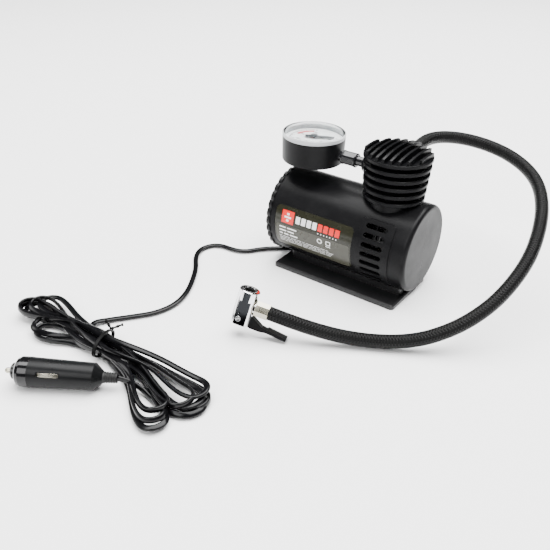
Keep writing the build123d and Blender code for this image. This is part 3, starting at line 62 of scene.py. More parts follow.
MM = 0.001
BODY = "inflator_body"

# the chuck's foot, and its own axes: up through its mouth, and out along its hose port
CHUCK_FOOT = Vector((-20.8, -137.1, 10.0))
CHUCK_UP = Vector((0.107, 0.316, 0.943)).normalized()
CHUCK_TO_HOSE = Vector((0.916, 0.338, -0.217))
CHUCK_TO_HOSE = (CHUCK_TO_HOSE - CHUCK_UP * CHUCK_TO_HOSE.dot(CHUCK_UP)).normalized()
CHUCK_SIDE = CHUCK_UP.cross(CHUCK_TO_HOSE)

# ---------------------------------------------------------------- camera
scene = bpy.context.scene
camera_data = bpy.data.cameras.new("camera")
camera_data.lens = 44.12
camera_data.sensor_width = 36.0
CAMERA_PLACE = Vector((0.2353, -0.4633, 0.3039))
camera = bpy.data.objects.new("camera", camera_data)
scene.collection.objects.link(camera)
scene.camera = camera
YAW, PITCH, ROLL = 0.605, 0.546, 0.032
view_direction = Vector((-sin(YAW) * cos(PITCH), cos(YAW) * cos(PITCH), -sin(PITCH)))
level = Vector((cos(YAW), sin(YAW), 0))
upward = level.cross(view_direction)
right = cos(ROLL) * level + sin(ROLL) * upward
up = -sin(ROLL) * level + cos(ROLL) * upward
camera.matrix_world = Matrix(
    (
        (right.x, up.x, -view_direction.x, CAMERA_PLACE.x),
        (right.y, up.y, -view_direction.y, CAMERA_PLACE.y),
        (right.z, up.z, -view_direction.z, CAMERA_PLACE.z),
        (0, 0, 0, 1),
    )
)


# ---------------------------------------------------------------- material helpers
def shader(name, base, rough=0.5, metal=0.0, coat=0.0, specular=0.5):
    """A new material whose principled shader has the given colour and values."""
    material = bpy.data.materials.new(name)
    material.use_nodes = True
    principled = material.node_tree.nodes["Principled BSDF"]
    principled.inputs["Base Color"].default_value = (*base, 1)
    principled.inputs["Roughness"].default_value = rough
    principled.inputs["Metallic"].default_value = metal
    principled.inputs["Coat Weight"].default_value = coat
    principled.inputs["Specular IOR Level"].default_value = specular
    return material


def node(material, kind, **settings):
    """A new shader node whose named inputs are set from the settings."""
    made = material.node_tree.nodes.new(kind)
    for key, value in settings.items():
        if key in made.inputs:
            made.inputs[key].default_value = value
        else:
            setattr(made, key, value)
    return made


def link(material, source, target):
    """Join an output socket to an input socket."""
    material.node_tree.links.new(source, target)


def calculate(material, operation, *terms):
    """The output of a maths node fed by sockets or plain numbers."""
    made = node(material, "ShaderNodeMath", operation=operation)
    for place, term in enumerate(terms):
        if isinstance(term, float):
            made.inputs[place].default_value = term
        else:
            link(material, term, made.inputs[place])
    return made.outputs[0]


def remap(material, source, source_range, target_range):
    """The output of a node that maps one range of a value onto another."""
    made = node(material, "ShaderNodeMapRange")
    made.inputs["From Min"].default_value, made.inputs["From Max"].default_value = source_range
    made.inputs["To Min"].default_value, made.inputs["To Max"].default_value = target_range
    link(material, source, made.inputs["Value"])
    return made.outputs["Result"]


def surface(material, grain=1.0, depth=0.1, vary=0.1, edge=0.4, dust=0.0):
    """Fine grain in the normal, patchy roughness, rounded edges and, with dust, paler patches."""
    principled = material.node_tree.nodes["Principled BSDF"]
    place = node(material, "ShaderNodeTexCoord").outputs["Object"]
    bevel = node(material, "ShaderNodeBevel", samples=4, Radius=edge * MM)
    fine = node(material, "ShaderNodeTexNoise", Scale=1000.0 / grain, Detail=3.0)
    link(material, place, fine.inputs["Vector"])
    bump = node(material, "ShaderNodeBump", Strength=min(1.0, depth * 4), Distance=depth * MM)
    link(material, fine.outputs["Fac"], bump.inputs["Height"])
    link(material, bevel.outputs["Normal"], bump.inputs["Normal"])
    link(material, bump.outputs["Normal"], principled.inputs["Normal"])
    patch = node(material, "ShaderNodeTexNoise", Scale=60.0, Detail=4.0, Roughness=0.6)
    link(material, place, patch.inputs["Vector"])
    rough = principled.inputs["Roughness"].default_value
    rough_range = (max(0.0, rough - vary), min(1.0, rough + vary))
    spread = remap(material, patch.outputs["Fac"], (0.3, 0.7), rough_range)
    link(material, spread, principled.inputs["Roughness"])
    if dust:
        base = tuple(principled.inputs["Base Color"].default_value)
        blend = node(material, "ShaderNodeMix", data_type="RGBA")
        blend.inputs["A"].default_value = base
        blend.inputs["B"].default_value = tuple(min(1.0, c + dust) for c in base[:3]) + (1,)
        speck = remap(material, patch.outputs["Fac"], (0.45, 0.75), (0.0, 1.0))
        link(material, speck, blend.inputs["Factor"])
        link(material, blend.outputs["Result"], principled.inputs["Base Color"])
    return material


black_plastic = surface(
    shader("black_plastic", (0.0045, 0.0045, 0.005), rough=0.36, specular=0.1),
    grain=0.8, depth=0.012, vary=0.05, edge=0.5, dust=0.002,
)
base_plastic = surface(
    shader("base_plastic", (0.009, 0.009, 0.0095), rough=0.36, specular=0.4),
    grain=0.8, depth=0.012, vary=0.05, edge=0.5, dust=0.003,
)
cap_plastic = surface(
    shader("cap_plastic", (0.0045, 0.0045, 0.005), rough=0.34, specular=0.22),
    grain=0.8, depth=0.012, vary=0.05, dust=0.003,
)
head_paint = surface(
    shader("head_paint", (0.0025, 0.0025, 0.003), rough=0.3, specular=0.08),
    grain=1.1, depth=0.02, vary=0.07, edge=0.45, dust=0.002,
)
black_rubber = surface(
    shader("black_rubber", (0.006, 0.006, 0.006), rough=0.55, specular=0.3),
    grain=0.6, depth=0.03, vary=0.08, edge=0.3,
)
screw_steel = surface(
    shader("screw_steel", (0.25, 0.25, 0.26), rough=0.35, metal=1.0),
    grain=0.5, depth=0.01, edge=0.15,
)
# bare steel, bronze and cast alloy, used only on inner parts, are coloured far darker than the real metals:
# painted shade for the inside of the housing
bare_steel_painted_shade = surface(
    shader("bare_steel_painted_shade", (0.035, 0.035, 0.037), metal=1.0),
    grain=0.6, depth=0.01, edge=0.2,
)
bronze = surface(
    shader("bronze", (0.05, 0.033, 0.016), metal=1.0),
    grain=0.6, depth=0.01, edge=0.2,
)
ferrite = surface(
    shader("ferrite", (0.012, 0.012, 0.013), rough=0.6, metal=0.4),
    grain=0.5, depth=0.03, edge=0.2,
)
cast_alloy_painted_shade = surface(
    shader("cast_alloy_painted_shade", (0.07, 0.07, 0.072), metal=1.0),
    grain=0.5, depth=0.03, edge=0.2,
)
gloss_black = surface(
    shader("gloss_black", (0.003, 0.003, 0.0035), rough=0.13, coat=0.12, specular=0.3),
    grain=1.5, depth=0.008, vary=0.05, edge=0.35,
)
nut_black = surface(
    shader("nut_black", (0.006, 0.006, 0.007), rough=0.2, coat=0.3, specular=0.4),
    grain=1.2, depth=0.01, vary=0.06, edge=0.3,
)
plug_plastic = surface(
    shader("plug_plastic", (0.0045, 0.0047, 0.005), rough=0.3, specular=0.13),
    grain=0.7, depth=0.02, vary=0.05,
)
nickel = surface(
    shader("nickel", (0.42, 0.40, 0.32), rough=0.16, metal=1.0),
    grain=0.9, depth=0.006, vary=0.08, edge=0.3,
)
chrome = surface(
    shader("chrome", (0.8, 0.8, 0.81), rough=0.07, metal=1.0),
    grain=2.0, depth=0.004, vary=0.03, edge=0.35,
)
# a dark copy of the chrome: painted dark reflection for the chuck's flats and the sides facing the same way
chrome_painted_dark_reflection = surface(
    shader("chrome_painted_dark_reflection", (0.02, 0.021, 0.023), rough=0.09, metal=1.0),
    grain=2.0, depth=0.004, vary=0.03, edge=0.35,
)
gilt = surface(
    shader("gilt", (0.83, 0.79, 0.66), rough=0.2, metal=1.0),
    grain=0.9, depth=0.006, vary=0.05, edge=0.2,
)
lever_black = surface(
    shader("lever_black", (0.003, 0.003, 0.003), rough=0.36, specular=0.08),
    grain=0.8, depth=0.02, vary=0.06, edge=0.35,
)
dial_white = surface(
    shader("dial_white", (0.97, 0.97, 0.97)),
    grain=0.5, depth=0.004, vary=0.05, edge=0.1,
)
wall_grey = surface(
    shader("wall_grey", (0.42, 0.43, 0.44), rough=0.3),
    grain=0.5, depth=0.004, vary=0.05, edge=0.05,
)
dial_black = surface(
    shader("dial_black", (0.02, 0.02, 0.022)),
    grain=0.5, depth=0.004, vary=0.05, edge=0.05,
)
dial_red = surface(
    shader("dial_red", (0.62, 0.03, 0.03)),
    grain=0.5, depth=0.004, vary=0.05, edge=0.05,
)
needle_grey = surface(
    shader("needle_grey", (0.07, 0.075, 0.08), rough=0.35),
    grain=0.6, depth=0.006, vary=0.05, edge=0.2,
)
label_dark = surface(
    shader("label_dark", (0.016, 0.016, 0.009), rough=0.25, coat=0.1, specular=0.3),
    grain=2.0, depth=0.006, vary=0.05, edge=0.1,
)
label_grey = surface(
    shader("label_grey", (0.048, 0.047, 0.035), rough=0.3, coat=0.1, specular=0.3),
    grain=2.0, depth=0.006, vary=0.05, edge=0.1,
)
label_red = surface(
    shader("label_red", (0.8, 0.018, 0.015), rough=0.3, coat=0.1, specular=0.3),
    grain=2.0, depth=0.006, vary=0.05, edge=0.1,
)
label_white = surface(
    shader("label_white", (0.85, 0.85, 0.84), rough=0.35, coat=0.1, specular=0.3),
    grain=2.0, depth=0.006, vary=0.05, edge=0.1,
)

lens_clear = surface(
    shader("lens_clear", (0.93, 0.95, 0.95), rough=0.03),
    grain=3.0, depth=0.0005, vary=0.015, edge=0.05,
)
lens_rim = surface(
    shader("lens_rim", (0.85, 0.87, 0.88), rough=0.22),
    depth=0.004, vary=0.05, edge=0.1,
)
for material, clearness, bending in ((lens_clear, 1.0, 1.15), (lens_rim, 0.55, 1.45)):
    glass = material.node_tree.nodes["Principled BSDF"]
    glass.inputs["Transmission Weight"].default_value = clearness
    glass.inputs["IOR"].default_value = bending

# ---------------------------------------------------------------- materials on the CAD pieces
FINISH = {
    "base_plate": base_plastic,
    "base_screws": screw_steel,
    "cable_grommet": black_rubber,
    "housing_front": black_plastic,
    "housing_back": black_plastic,
    "label_plate": label_dark,
    "housing_screws": screw_steel,
    "rear_cap": cap_plastic,
    "motor_can": bare_steel_painted_shade,
    "motor_end_bell": black_plastic,
    "motor_bushes": bronze,
    "motor_magnets": ferrite,
    "motor_armature": ferrite,
    "motor_shaft": bare_steel_painted_shade,
    "motor_screws": screw_steel,
    "motor_pinion": bronze,
    "crank_gear": bare_steel_painted_shade,
    "crank_counterweight": bare_steel_painted_shade,
    "crank_shaft": bare_steel_painted_shade,
    "crank_pin": bare_steel_painted_shade,
    "crank_bearing": bronze,
    "drive_frame": bare_steel_painted_shade,
    "head_screws": screw_steel,
    "piston_rod": cast_alloy_painted_shade,
    "piston_cup": black_rubber,
    "piston_retainer": screw_steel,
    "cylinder_gasket": black_rubber,
    "cylinder_sleeve": cast_alloy_painted_shade,
    "valve_plate": cast_alloy_painted_shade,
    "outlet_valve": bronze,
    "valve_spring": bare_steel_painted_shade,
    "cylinder_head": head_paint,
    "gauge_case": black_plastic,
    "gauge_lens": lens_clear,
    "gauge_dial": dial_white,
    "gauge_needle": needle_grey,
    "gauge_movement": bronze,
    "gauge_bourdon_tube": nut_black,
    "gauge_nut": nut_black,
    "gauge_nipple": nut_black,
    "hose_fitting": nut_black,
    "hose_ferrule": nickel,
    "chuck_body": chrome,
    "chuck_seal": black_rubber,
    "chuck_plunger": bronze,
    "chuck_pivot_pin": chrome,
    "chuck_lever": lever_black,
    "plug_body": plug_plastic,
    "plug_nose_cap": gloss_black,
    "plug_strain_relief": black_rubber,
    "plug_tip_contact": nickel,
    "plug_fuse": gilt,
    "plug_spring": bare_steel_painted_shade,
    "plug_side_contact_upper": gilt,
    "plug_side_contact_lower": gilt,
    "cable_tie": lever_black,
}
for name, material in FINISH.items():
    piece = frame["nodes"][name]
    piece.data.materials.clear()
    piece.data.materials.append(material)
    for face in piece.data.polygons:
        face.material_index = 0

# the lens's rim is moulded frosted; the chuck's two flats, and the round sides facing the same way, get a
# dark copy of the chrome as a painted dark reflection
RIM_SLOPE = 0.95
PAINTED_REFLECTION_FACING = 0.94
lens = frame["nodes"]["gauge_lens"].data
lens.materials.append(lens_rim)
for face in lens.polygons:
    face.material_index = 1 if abs(face.normal.z) < RIM_SLOPE else 0
chuck = frame["nodes"]["chuck_body"].data
chuck.materials.append(chrome_painted_dark_reflection)
chuck_turn = frame["nodes"]["chuck_body"].matrix_world.to_3x3()
for face in chuck.polygons:
    outward = chuck_turn @ face.normal
    face.material_index = 1 if abs(outward.dot(CHUCK_SIDE)) > PAINTED_REFLECTION_FACING else 0


# ---------------------------------------------------------------- mesh helpers
def new_mesh(name, points, faces, material, body=BODY, smooth=True):
    """A mesh object in the shared frame, its points in metres, that rides on a body."""
    data = bpy.data.meshes.new(name)
    data.from_pydata([tuple(p) for p in points], [], faces)
    data.materials.append(material)
    data.polygons.foreach_set("use_smooth", [smooth] * len(data.polygons))
    data.update()
    made = bpy.data.objects.new(name, data)
    scene.collection.objects.link(made)
    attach(made, body)
    return made


def spline_points(control, resolution=12):
    """Points along the smooth NURBS line whose control points are given, in metres."""
    curve = bpy.data.curves.new("route", "CURVE")
    curve.dimensions = "3D"
    spline = curve.splines.new("NURBS")
    spline.points.add(len(control) - 1)
    for point, place in zip(spline.points, control):
        point.co = (*place, 1)
    spline.order_u = 3
    spline.use_endpoint_u = True
    spline.resolution_u = resolution
    holder = bpy.data.objects.new("route", curve)
    scene.collection.objects.link(holder)
    line = bpy.data.meshes.new_from_object(holder)
    points = [Vector(vertex.co) for vertex in line.vertices]
    bpy.data.objects.remove(holder)
    bpy.data.curves.remove(curve)
    bpy.data.meshes.remove(line)
    return points


def distances(path):
    """How far along a path each of its points lies."""
    runs = np.linalg.norm(np.diff(path, axis=0), axis=1)
    return np.concatenate(([0.0], np.cumsum(runs)))


def evenly(points, step):
    """The same line with its points about one step apart."""
    places = np.array(points)
    along = distances(places)
    wanted = np.linspace(0, along[-1], int(along[-1] / step) + 1)
    return np.stack([np.interp(wanted, along, places[:, k]) for k in range(3)], axis=1)


def tube(name, path, section, material, turn=None, upright=False):
    """A closed tube of a given section (side, up) swept along a path, with distance along it as UV."""
    path = np.array(path)
    tangent = np.gradient(path, axis=0)
    tangent /= np.linalg.norm(tangent, axis=1)[:, None]
    side = np.zeros_like(path)
    rise = np.zeros_like(path)
    if upright:
        reference = np.array([0, 0, 1.0])
        for i, t in enumerate(tangent):
            side[i] = np.cross(t, reference)
            side[i] /= np.linalg.norm(side[i])
            rise[i] = np.cross(side[i], t)
    else:
        first = np.cross(tangent[0], [0, 0, 1.0])
        side[0] = first / np.linalg.norm(first)
        for i, t in enumerate(tangent):
            if i:
                flat = side[i - 1] - t * np.dot(side[i - 1], t)
                side[i] = flat / np.linalg.norm(flat)
            rise[i] = np.cross(side[i], t)
    around = len(section)
    points = []
    for i, here in enumerate(path):
        angle = turn[i] if turn is not None else 0.0
        across = cos(angle) * side[i] + sin(angle) * rise[i]
        upward_here = -sin(angle) * side[i] + cos(angle) * rise[i]
        for a, b in section:
            points.append(here + (a * across + b * upward_here))
    faces = []
    for i in range(len(path) - 1):
        for k in range(around):
            after = (k + 1) % around
            faces.append((i * around + k, i * around + after, (i + 1) * around + after, (i + 1) * around + k))
    faces.append(tuple(range(around)))
    last = (len(path) - 1) * around
    faces.append(tuple(last + k for k in reversed(range(around))))
    made = new_mesh(name, points, faces, material)
    along = distances(path)
    layer = made.data.uv_layers.new(name="along")
    for face in made.data.polygons:
        wraps = len(face.vertices) == 4
        ring = [made.data.loops[loop].vertex_index for loop in face.loop_indices]
        columns = [v % around for v in ring]
        for loop, vertex, column in zip(face.loop_indices, ring, columns):
            if wraps and max(columns) - min(columns) > 1 and column == 0:
                column = around
            layer.data[loop].uv = (column / around, along[vertex // around])
    return made


def circle_section(radius, sides):
    """A round section for a tube."""
    return [(radius * cos(2 * pi * k / sides), radius * sin(2 * pi * k / sides)) for k in range(sides)]


# ---------------------------------------------------------------- air hose
HOSE_DIAMETER = 10.6
CHUCK_PORT_HEIGHT = 15.0
FERRULE_END = 18.5
hose_end = CHUCK_FOOT + FERRULE_END * CHUCK_TO_HOSE + CHUCK_PORT_HEIGHT * CHUCK_UP
HOSE_ROUTE = [
    (26, 33.5, 105),
    (22, 56, 107.5),
    (28, 82, 106.5),
    (47, 102.5, 102.5),
    (74, 111, 96.5),
    (98, 105.5, 90),
    (116, 90.5, 83.5),
    (128.5, 67, 76),
    (136, 42, 66.5),
    (140, 14, 55),
    (137.5, -14, 43),
    (130, -36, 30.5),
    (115, -58.5, 18),
    (92, -78.5, 8),
    (58, -97.5, 5.6),
    (24, -117, 13.5),
    tuple(hose_end),
]

hose_braid = surface(
    shader("hose_braid", (0.003, 0.003, 0.0035), rough=0.28, specular=0.1),
    grain=0.5, depth=0.01, vary=0.06, edge=0.2,
)
hose_shader = hose_braid.node_tree.nodes["Principled BSDF"]
hose_uv = node(hose_braid, "ShaderNodeUVMap", uv_map="along")
hose_split = node(hose_braid, "ShaderNodeSeparateXYZ")
link(hose_braid, hose_uv.outputs["UV"], hose_split.inputs["Vector"])
# two sets of strands wound opposite ways, as waves counted round the hose and per metre along it
WEAVE_AROUND = 9.0
WEAVE_ALONG = 440.0
weave_waves = []
for slant in (WEAVE_AROUND, -WEAVE_AROUND):
    around_turns = calculate(hose_braid, "MULTIPLY", hose_split.outputs["X"], slant)
    along_turns = calculate(hose_braid, "MULTIPLY", hose_split.outputs["Y"], WEAVE_ALONG)
    turns = calculate(hose_braid, "ADD", around_turns, along_turns)
    angle = calculate(hose_braid, "MULTIPLY", turns, 2 * pi)
    weave_waves.append(calculate(hose_braid, "SINE", angle))
weave = calculate(hose_braid, "MAXIMUM", *weave_waves)
weave_bump = node(hose_braid, "ShaderNodeBump", Strength=0.9, Distance=0.24 * MM)
link(hose_braid, weave, weave_bump.inputs["Height"])
link(hose_braid, weave_bump.outputs["Normal"], hose_shader.inputs["Normal"])
weave_colour = remap(hose_braid, weave, (-1.0, 1.0), (0.001, 0.006))
link(hose_braid, weave_colour, hose_shader.inputs["Base Color"])

hose_route = [Vector(point) * MM for point in HOSE_ROUTE]
HOSE_STEP = 1.5
hose_path = evenly(spline_points(hose_route), HOSE_STEP * MM)
air_hose = tube("air_hose", hose_path, circle_section(HOSE_DIAMETER / 2 * MM, 28), hose_braid)
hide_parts("hose_tube")

# ---------------------------------------------------------------- supply cable with its tied hank
CABLE_WIDTH = 4.5
CABLE_THICKNESS = 2.5
# how high the cable's middle lies where it rests on the ground
FLOOR_Z = 2.05
CABLE_ROUTE = [
    (-62.0, -6.0, FLOOR_Z),
    (-71, -12, FLOOR_Z),
    (-84, -24, FLOOR_Z),
    (-91, -35.5, FLOOR_Z),
    (-98, -40.5, FLOOR_Z),
    (-107, -42, FLOOR_Z),
    (-118, -42.5, FLOOR_Z),
    (-125.5, -49.5, FLOOR_Z),
    (-127.5, -61, FLOOR_Z),
    (-121, -74, FLOOR_Z),
    (-108, -88, FLOOR_Z),
    (-97, -105, FLOOR_Z),
    (-88, -122, FLOOR_Z),
    (-83.5, -140, FLOOR_Z),
    (-87, -158, FLOOR_Z),
    (-97, -172, FLOOR_Z),
    (-108, -186, FLOOR_Z),
    (-117, -202, FLOOR_Z + 1.5),
]
PLUG_TIP = Vector((-109.8, -277.7, 10.9))
PLUG_DIRECTION = Vector((0.8395, 0.5422, -0.0256)).normalized()
RELIEF_END = 75.7
relief_mouth = PLUG_TIP + RELIEF_END * PLUG_DIRECTION
TAIL_ROUTE = [
    (-8, -235, 3.0),
    (-19, -233, FLOOR_Z + 0.6),
    (-29, -231, 4.4),
    (-38, -232.3, 7.4),
    tuple(relief_mouth),
]

# Each fold of the hank: where its far end lies, half its width and how high it lies, in millimetres.
LEFT_FOLDS = [
    (-170, -212, 9.0, 3.2),
    (-140, -229, 9.0, 3.4),
    (-172, -216, 9.0, 5.6),
    (-145, -226, 9.0, 6.0),
    (-163, -203, 9.0, 7.2),
    (-167, -210, 9.0, 8.6),
    (-170, -218, 9.0, 9.4),
]
RIGHT_FOLDS = [
    (13, -217, 11.5, 3.0),
    (3, -250, 9.0, 3.4),
    (10, -220, 10.5, 5.4),
    (0, -247, 9.0, 6.2),
    (6, -225, 10.0, 7.4),
    (-3, -241, 9.0, 8.8),
    (9, -213, 9.5, 8.6),
]
# the middle of the tie, and how the strands lie in it: columns across and rows up
WAIST = Vector((-84.0, -215.0, 0))
WAIST_ACROSS = Vector((-0.3, 0.95, 0)).normalized()
WAIST_COLUMNS = (-7.5, 2.5, 7.0, -2.5)
WAIST_ROWS = (2.6, 5.6, 8.6, 11.4)
LAST_FOLD = [
    (-68, -213, 5.0),
    (-40, -209, 4.2),
    (-14, -207, 3.4),
    (4, -209, 3.0),
    (14, -217, 3.0),
    (13, -228, 3.0),
    (4, -235, 3.0),
]


def waist_point(strand):
    """Where a strand passes through the tie: four side by side in each of four layers."""
    column = WAIST_COLUMNS[strand % 4]
    row = WAIST_ROWS[(strand // 4) % 4]
    return WAIST + WAIST_ACROSS * column + Vector((0, 0, row))


# NECK and MIDDLE are shares of the way out from the tie. The other numbers are in half widths of the
# fold, back from its far end or out from its middle line, apart from RIGHT_BOW in millimetres.
NECK = 0.2
NECK_WIDTH = 0.1
MIDDLE = 0.48
MIDDLE_WIDTH = 0.3
SHOULDER_BACK = 2.1
SHOULDER_WIDTH = 0.92
CORNER_BACK = 0.62
TIP_WIDTH = 0.42
RIGHT_BOW = 5.0


def fold(start, finish, far_x, far_y, half_width, height, flip):
    """The points of one fold of the hank, out from the tie, round its far end and back."""
    end = Vector((far_x, far_y, height))
    reach = Vector((end.x - WAIST.x, end.y - WAIST.y, 0))
    outward = reach.normalized()
    across = Vector((-outward.y, outward.x, 0)) * flip
    lift = Vector((0, 0, 1))
    bow = Vector((0, RIGHT_BOW if outward.x > 0 else 0.0, 0))
    return [
        start + NECK * reach + across * NECK_WIDTH * half_width + 0.3 * bow,
        start.lerp(end, MIDDLE) + across * MIDDLE_WIDTH * half_width + bow,
        end - outward * SHOULDER_BACK * half_width + across * SHOULDER_WIDTH * half_width,
        end - outward * CORNER_BACK * half_width + across * half_width,
        end + across * TIP_WIDTH * half_width + lift * 0.5,
        end - across * TIP_WIDTH * half_width + lift * 0.8,
        end - outward * CORNER_BACK * half_width - across * half_width,
        end - outward * SHOULDER_BACK * half_width - across * SHOULDER_WIDTH * half_width,
        finish.lerp(end, MIDDLE) - across * MIDDLE_WIDTH * half_width + bow,
        finish + NECK * reach - across * NECK_WIDTH * half_width + 0.3 * bow,
    ]


hank = []
for turn, (left, right_fold) in enumerate(zip(LEFT_FOLDS, RIGHT_FOLDS)):
    enter = waist_point(2 * turn)
    leave = waist_point(2 * turn + 1)
    following = waist_point(2 * turn + 2)
    hank.append(enter)
    hank += fold(enter, leave, *right_fold, 1 if turn % 2 else -1)
    hank.append(leave)
    hank += fold(leave, following, *left, 1 if turn % 2 else -1)
hank.append(waist_point(2 * len(LEFT_FOLDS)))
supply_route = [Vector(p) for p in CABLE_ROUTE] + hank
supply_route += [Vector(p) for p in LAST_FOLD] + [Vector(p) for p in TAIL_ROUTE]
supply_route = [point * MM for point in supply_route]

cable_black = surface(
    shader("cable_black", (0.0025, 0.0025, 0.003), rough=0.2, coat=0.1, specular=0.14),
    grain=1.2, depth=0.01, vary=0.05, edge=0.2,
)
CABLE_STEP = 1.6
cable_path = evenly(spline_points(supply_route), CABLE_STEP * MM)
# two round cores side by side, joined by flat faces
core_radius = CABLE_THICKNESS / 2 * MM
core_offset = (CABLE_WIDTH - CABLE_THICKNESS) / 2 * MM
cable_section = []
for offset, first_angle in ((core_offset, -0.42 * pi), (-core_offset, 0.58 * pi)):
    for k in range(8):
        angle = first_angle + 0.84 * pi * k / 7
        cable_section.append((offset + core_radius * cos(angle), core_radius * sin(angle)))
# the flat cable lies flat up to the hank, and rolls to and fro inside it
HANK_STARTS = 250
ROLL_GROWS = 60
ROLL_ANGLE = 0.9
ROLL_SPACING = 47.0
reached = np.arange(len(cable_path)) * CABLE_STEP
in_hank = np.clip((reached - HANK_STARTS) / ROLL_GROWS, 0, 1)
cable_turn = in_hank * (ROLL_ANGLE + ROLL_ANGLE * np.sin(reached / ROLL_SPACING))
supply_cable = tube("supply_cable", cable_path, cable_section, cable_black, turn=cable_turn, upright=True)
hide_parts("cable_tube", "cable_hank", "cable_tail")

# ---------------------------------------------------------------- label print
BARREL_AXIS_Z = 41.0
LABEL_RADIUS = 36.87
LABEL_LEFT, LABEL_RIGHT = -61.5, 13.5
LABEL_TOP_ANGLE, LABEL_BOTTOM_ANGLE = 27.2, -34.2


def barrel_point(x, angle, radius):
    """A point on the label side of the barrel: distance along it, degrees above its middle, radius."""
    return Vector((x, -radius * cos(radians(angle)), BARREL_AXIS_Z + radius * sin(radians(angle)))) * MM


def printed(name, x0, x1, top, bottom, material, lift=0.03, corner=0.0):
    """A printed patch that follows the label; x in mm, top and bottom in degrees, corner in mm."""
    height = radians(top - bottom) * LABEL_RADIUS
    columns = 10 if corner else 2
    rows = []
    for i in range(columns + 1):
        turn = pi / 2 * i / columns
        inset = corner * (1 - sin(turn))
        drop = corner * (1 - cos(turn))
        rows.append((x0 + inset, x1 - inset, drop))
    steps = max(2, int(height))
    for i in range(1, steps):
        rows.append((x0, x1, corner + (height - 2 * corner) * i / steps))
    rows += [(lx, rx, height - d) for lx, rx, d in reversed(rows[: columns + 1])]
    points = []
    for lx, rx, down in rows:
        angle = top - down / LABEL_RADIUS * 180 / pi
        points.append(barrel_point(lx, angle, LABEL_RADIUS + lift))
        points.append(barrel_point(rx, angle, LABEL_RADIUS + lift))
    faces = [(2 * i, 2 * i + 2, 2 * i + 3, 2 * i + 1) for i in range(len(rows) - 1)]
    return new_mesh(name, points, faces, material)


def label_angle(share):
    """Degrees for a share of the label's height, 0 at its top."""
    return LABEL_TOP_ANGLE + (LABEL_BOTTOM_ANGLE - LABEL_TOP_ANGLE) * share


def label_patch(name, left, right, top, bottom, material, lift=0.03, corner=0.0):
    """A printed patch: left and right in mm from the label's left edge, top and bottom as shares."""
    x0, x1 = LABEL_LEFT + left, LABEL_LEFT + right
    return printed(name, x0, x1, label_angle(top), label_angle(bottom), material, lift, corner)


label_patch("label_panel", 1.6, LABEL_RIGHT - LABEL_LEFT - 1.4, 0.41, 0.985, label_grey, 0.02, 2.0)
label_patch("label_badge", 6.5, 18.5, 0.08, 0.365, label_red, 0.03, 0.5)
label_patch("badge_bar", 9.2, 15.8, 0.205, 0.245, label_white, 0.05)
label_patch("badge_dot_upper", 11.2, 13.8, 0.13, 0.18, label_white, 0.05, 0.6)
label_patch("badge_dot_lower", 11.2, 13.8, 0.27, 0.32, label_white, 0.05, 0.6)
TITLE_START = 20.6
TITLE_BLOCK = 4.2
TITLE_PITCH = 5.5
for block in range(8):
    start = TITLE_START + TITLE_PITCH * block
    colour = label_white if block < 4 else label_red
    label_patch(f"title_{block}", start, start + TITLE_BLOCK, 0.145, 0.305, colour, 0.03, 0.5)
SUBTITLE_START = 43
SUBTITLE_PITCH = 2.9
for dot in range(7):
    start = SUBTITLE_START + SUBTITLE_PITCH * dot
    label_patch(f"subtitle_{dot}", start, start + 0.9, 0.345, 0.37, label_white)
# rows of bars in place of words: share down the label, height share, and the bars' lengths
WORD_GAP = 1.3
SMALL_GAP = 1.0
ROWS = [(0.455, 0.032, (6.5, 9.5)), (0.535, 0.032, (7.0, 6.5)), (0.615, 0.034, (3.2, 4.6, 8.0))]
for row, (share, tall, words) in enumerate(ROWS):
    place = 5.0
    for word, length in enumerate(words):
        label_patch(f"line_{row}_{word}", place, place + length, share, share + tall, label_white, 0.035, 0.3)
        place += length + WORD_GAP
for row in range(4):
    place = 4.6
    share = 0.70 + 0.045 * row
    for word in range(9):
        length = 2.6 + 1.5 * ((word * 7 + row * 3) % 4)
        label_patch(f"small_{row}_{word}", place, place + length, share, share + 0.013, label_white, 0.035)
        place += length + SMALL_GAP
label_patch("mark_left", 43, 48, 0.46, 0.575, label_white, 0.03, 2.2)
label_patch("mark_left_hole", 44, 47, 0.482, 0.553, label_grey, 0.05, 1.2)
label_patch("mark_right", 51.5, 56, 0.46, 0.56, label_white, 0.03, 0.6)
label_patch("mark_right_hole", 52.3, 55.2, 0.478, 0.542, label_grey, 0.05, 0.3)
label_patch("mark_right_bar", 51.5, 56, 0.585, 0.605, label_white)

# ---------------------------------------------------------------- gauge dial print
GAUGE_X = -49.8
DIAL_Z = 109.0
NUMBER_TURN = 160.0
SCALE_START = 25.0
SCALE_SWEEP = 270.0
SCALE_RADIUS = 20.2
SCALE_MARKS = 40
LONG_MARK_EVERY = 4
LAST_NUMBER = 5
NUMBER_STEP = 60
NUMBER_RADIUS = 13.2
NUMBER_SIZE = 3.6
WALL_RADIUS = 24.4
WALL_TOP_Z = 112.6


def dial_place(angle, radius, lift=0.04):
    """A point on the dial: degrees anticlockwise from +X, and radius in mm."""
    return Vector((GAUGE_X + radius * cos(radians(angle)), radius * sin(radians(angle)), DIAL_Z + lift)) * MM


def dial_arc(name, start, finish, inner, outer, material, lift=0.04):
    """A flat arc on the dial between two angles and two radii."""
    steps = max(1, int(abs(finish - start) / 3))
    points = []
    for i in range(steps + 1):
        angle = start + (finish - start) * i / steps
        points.append(dial_place(angle, inner, lift))
        points.append(dial_place(angle, outer, lift))
    faces = [(2 * i, 2 * i + 1, 2 * i + 3, 2 * i + 2) for i in range(steps)]
    return new_mesh(name, points, faces, material)


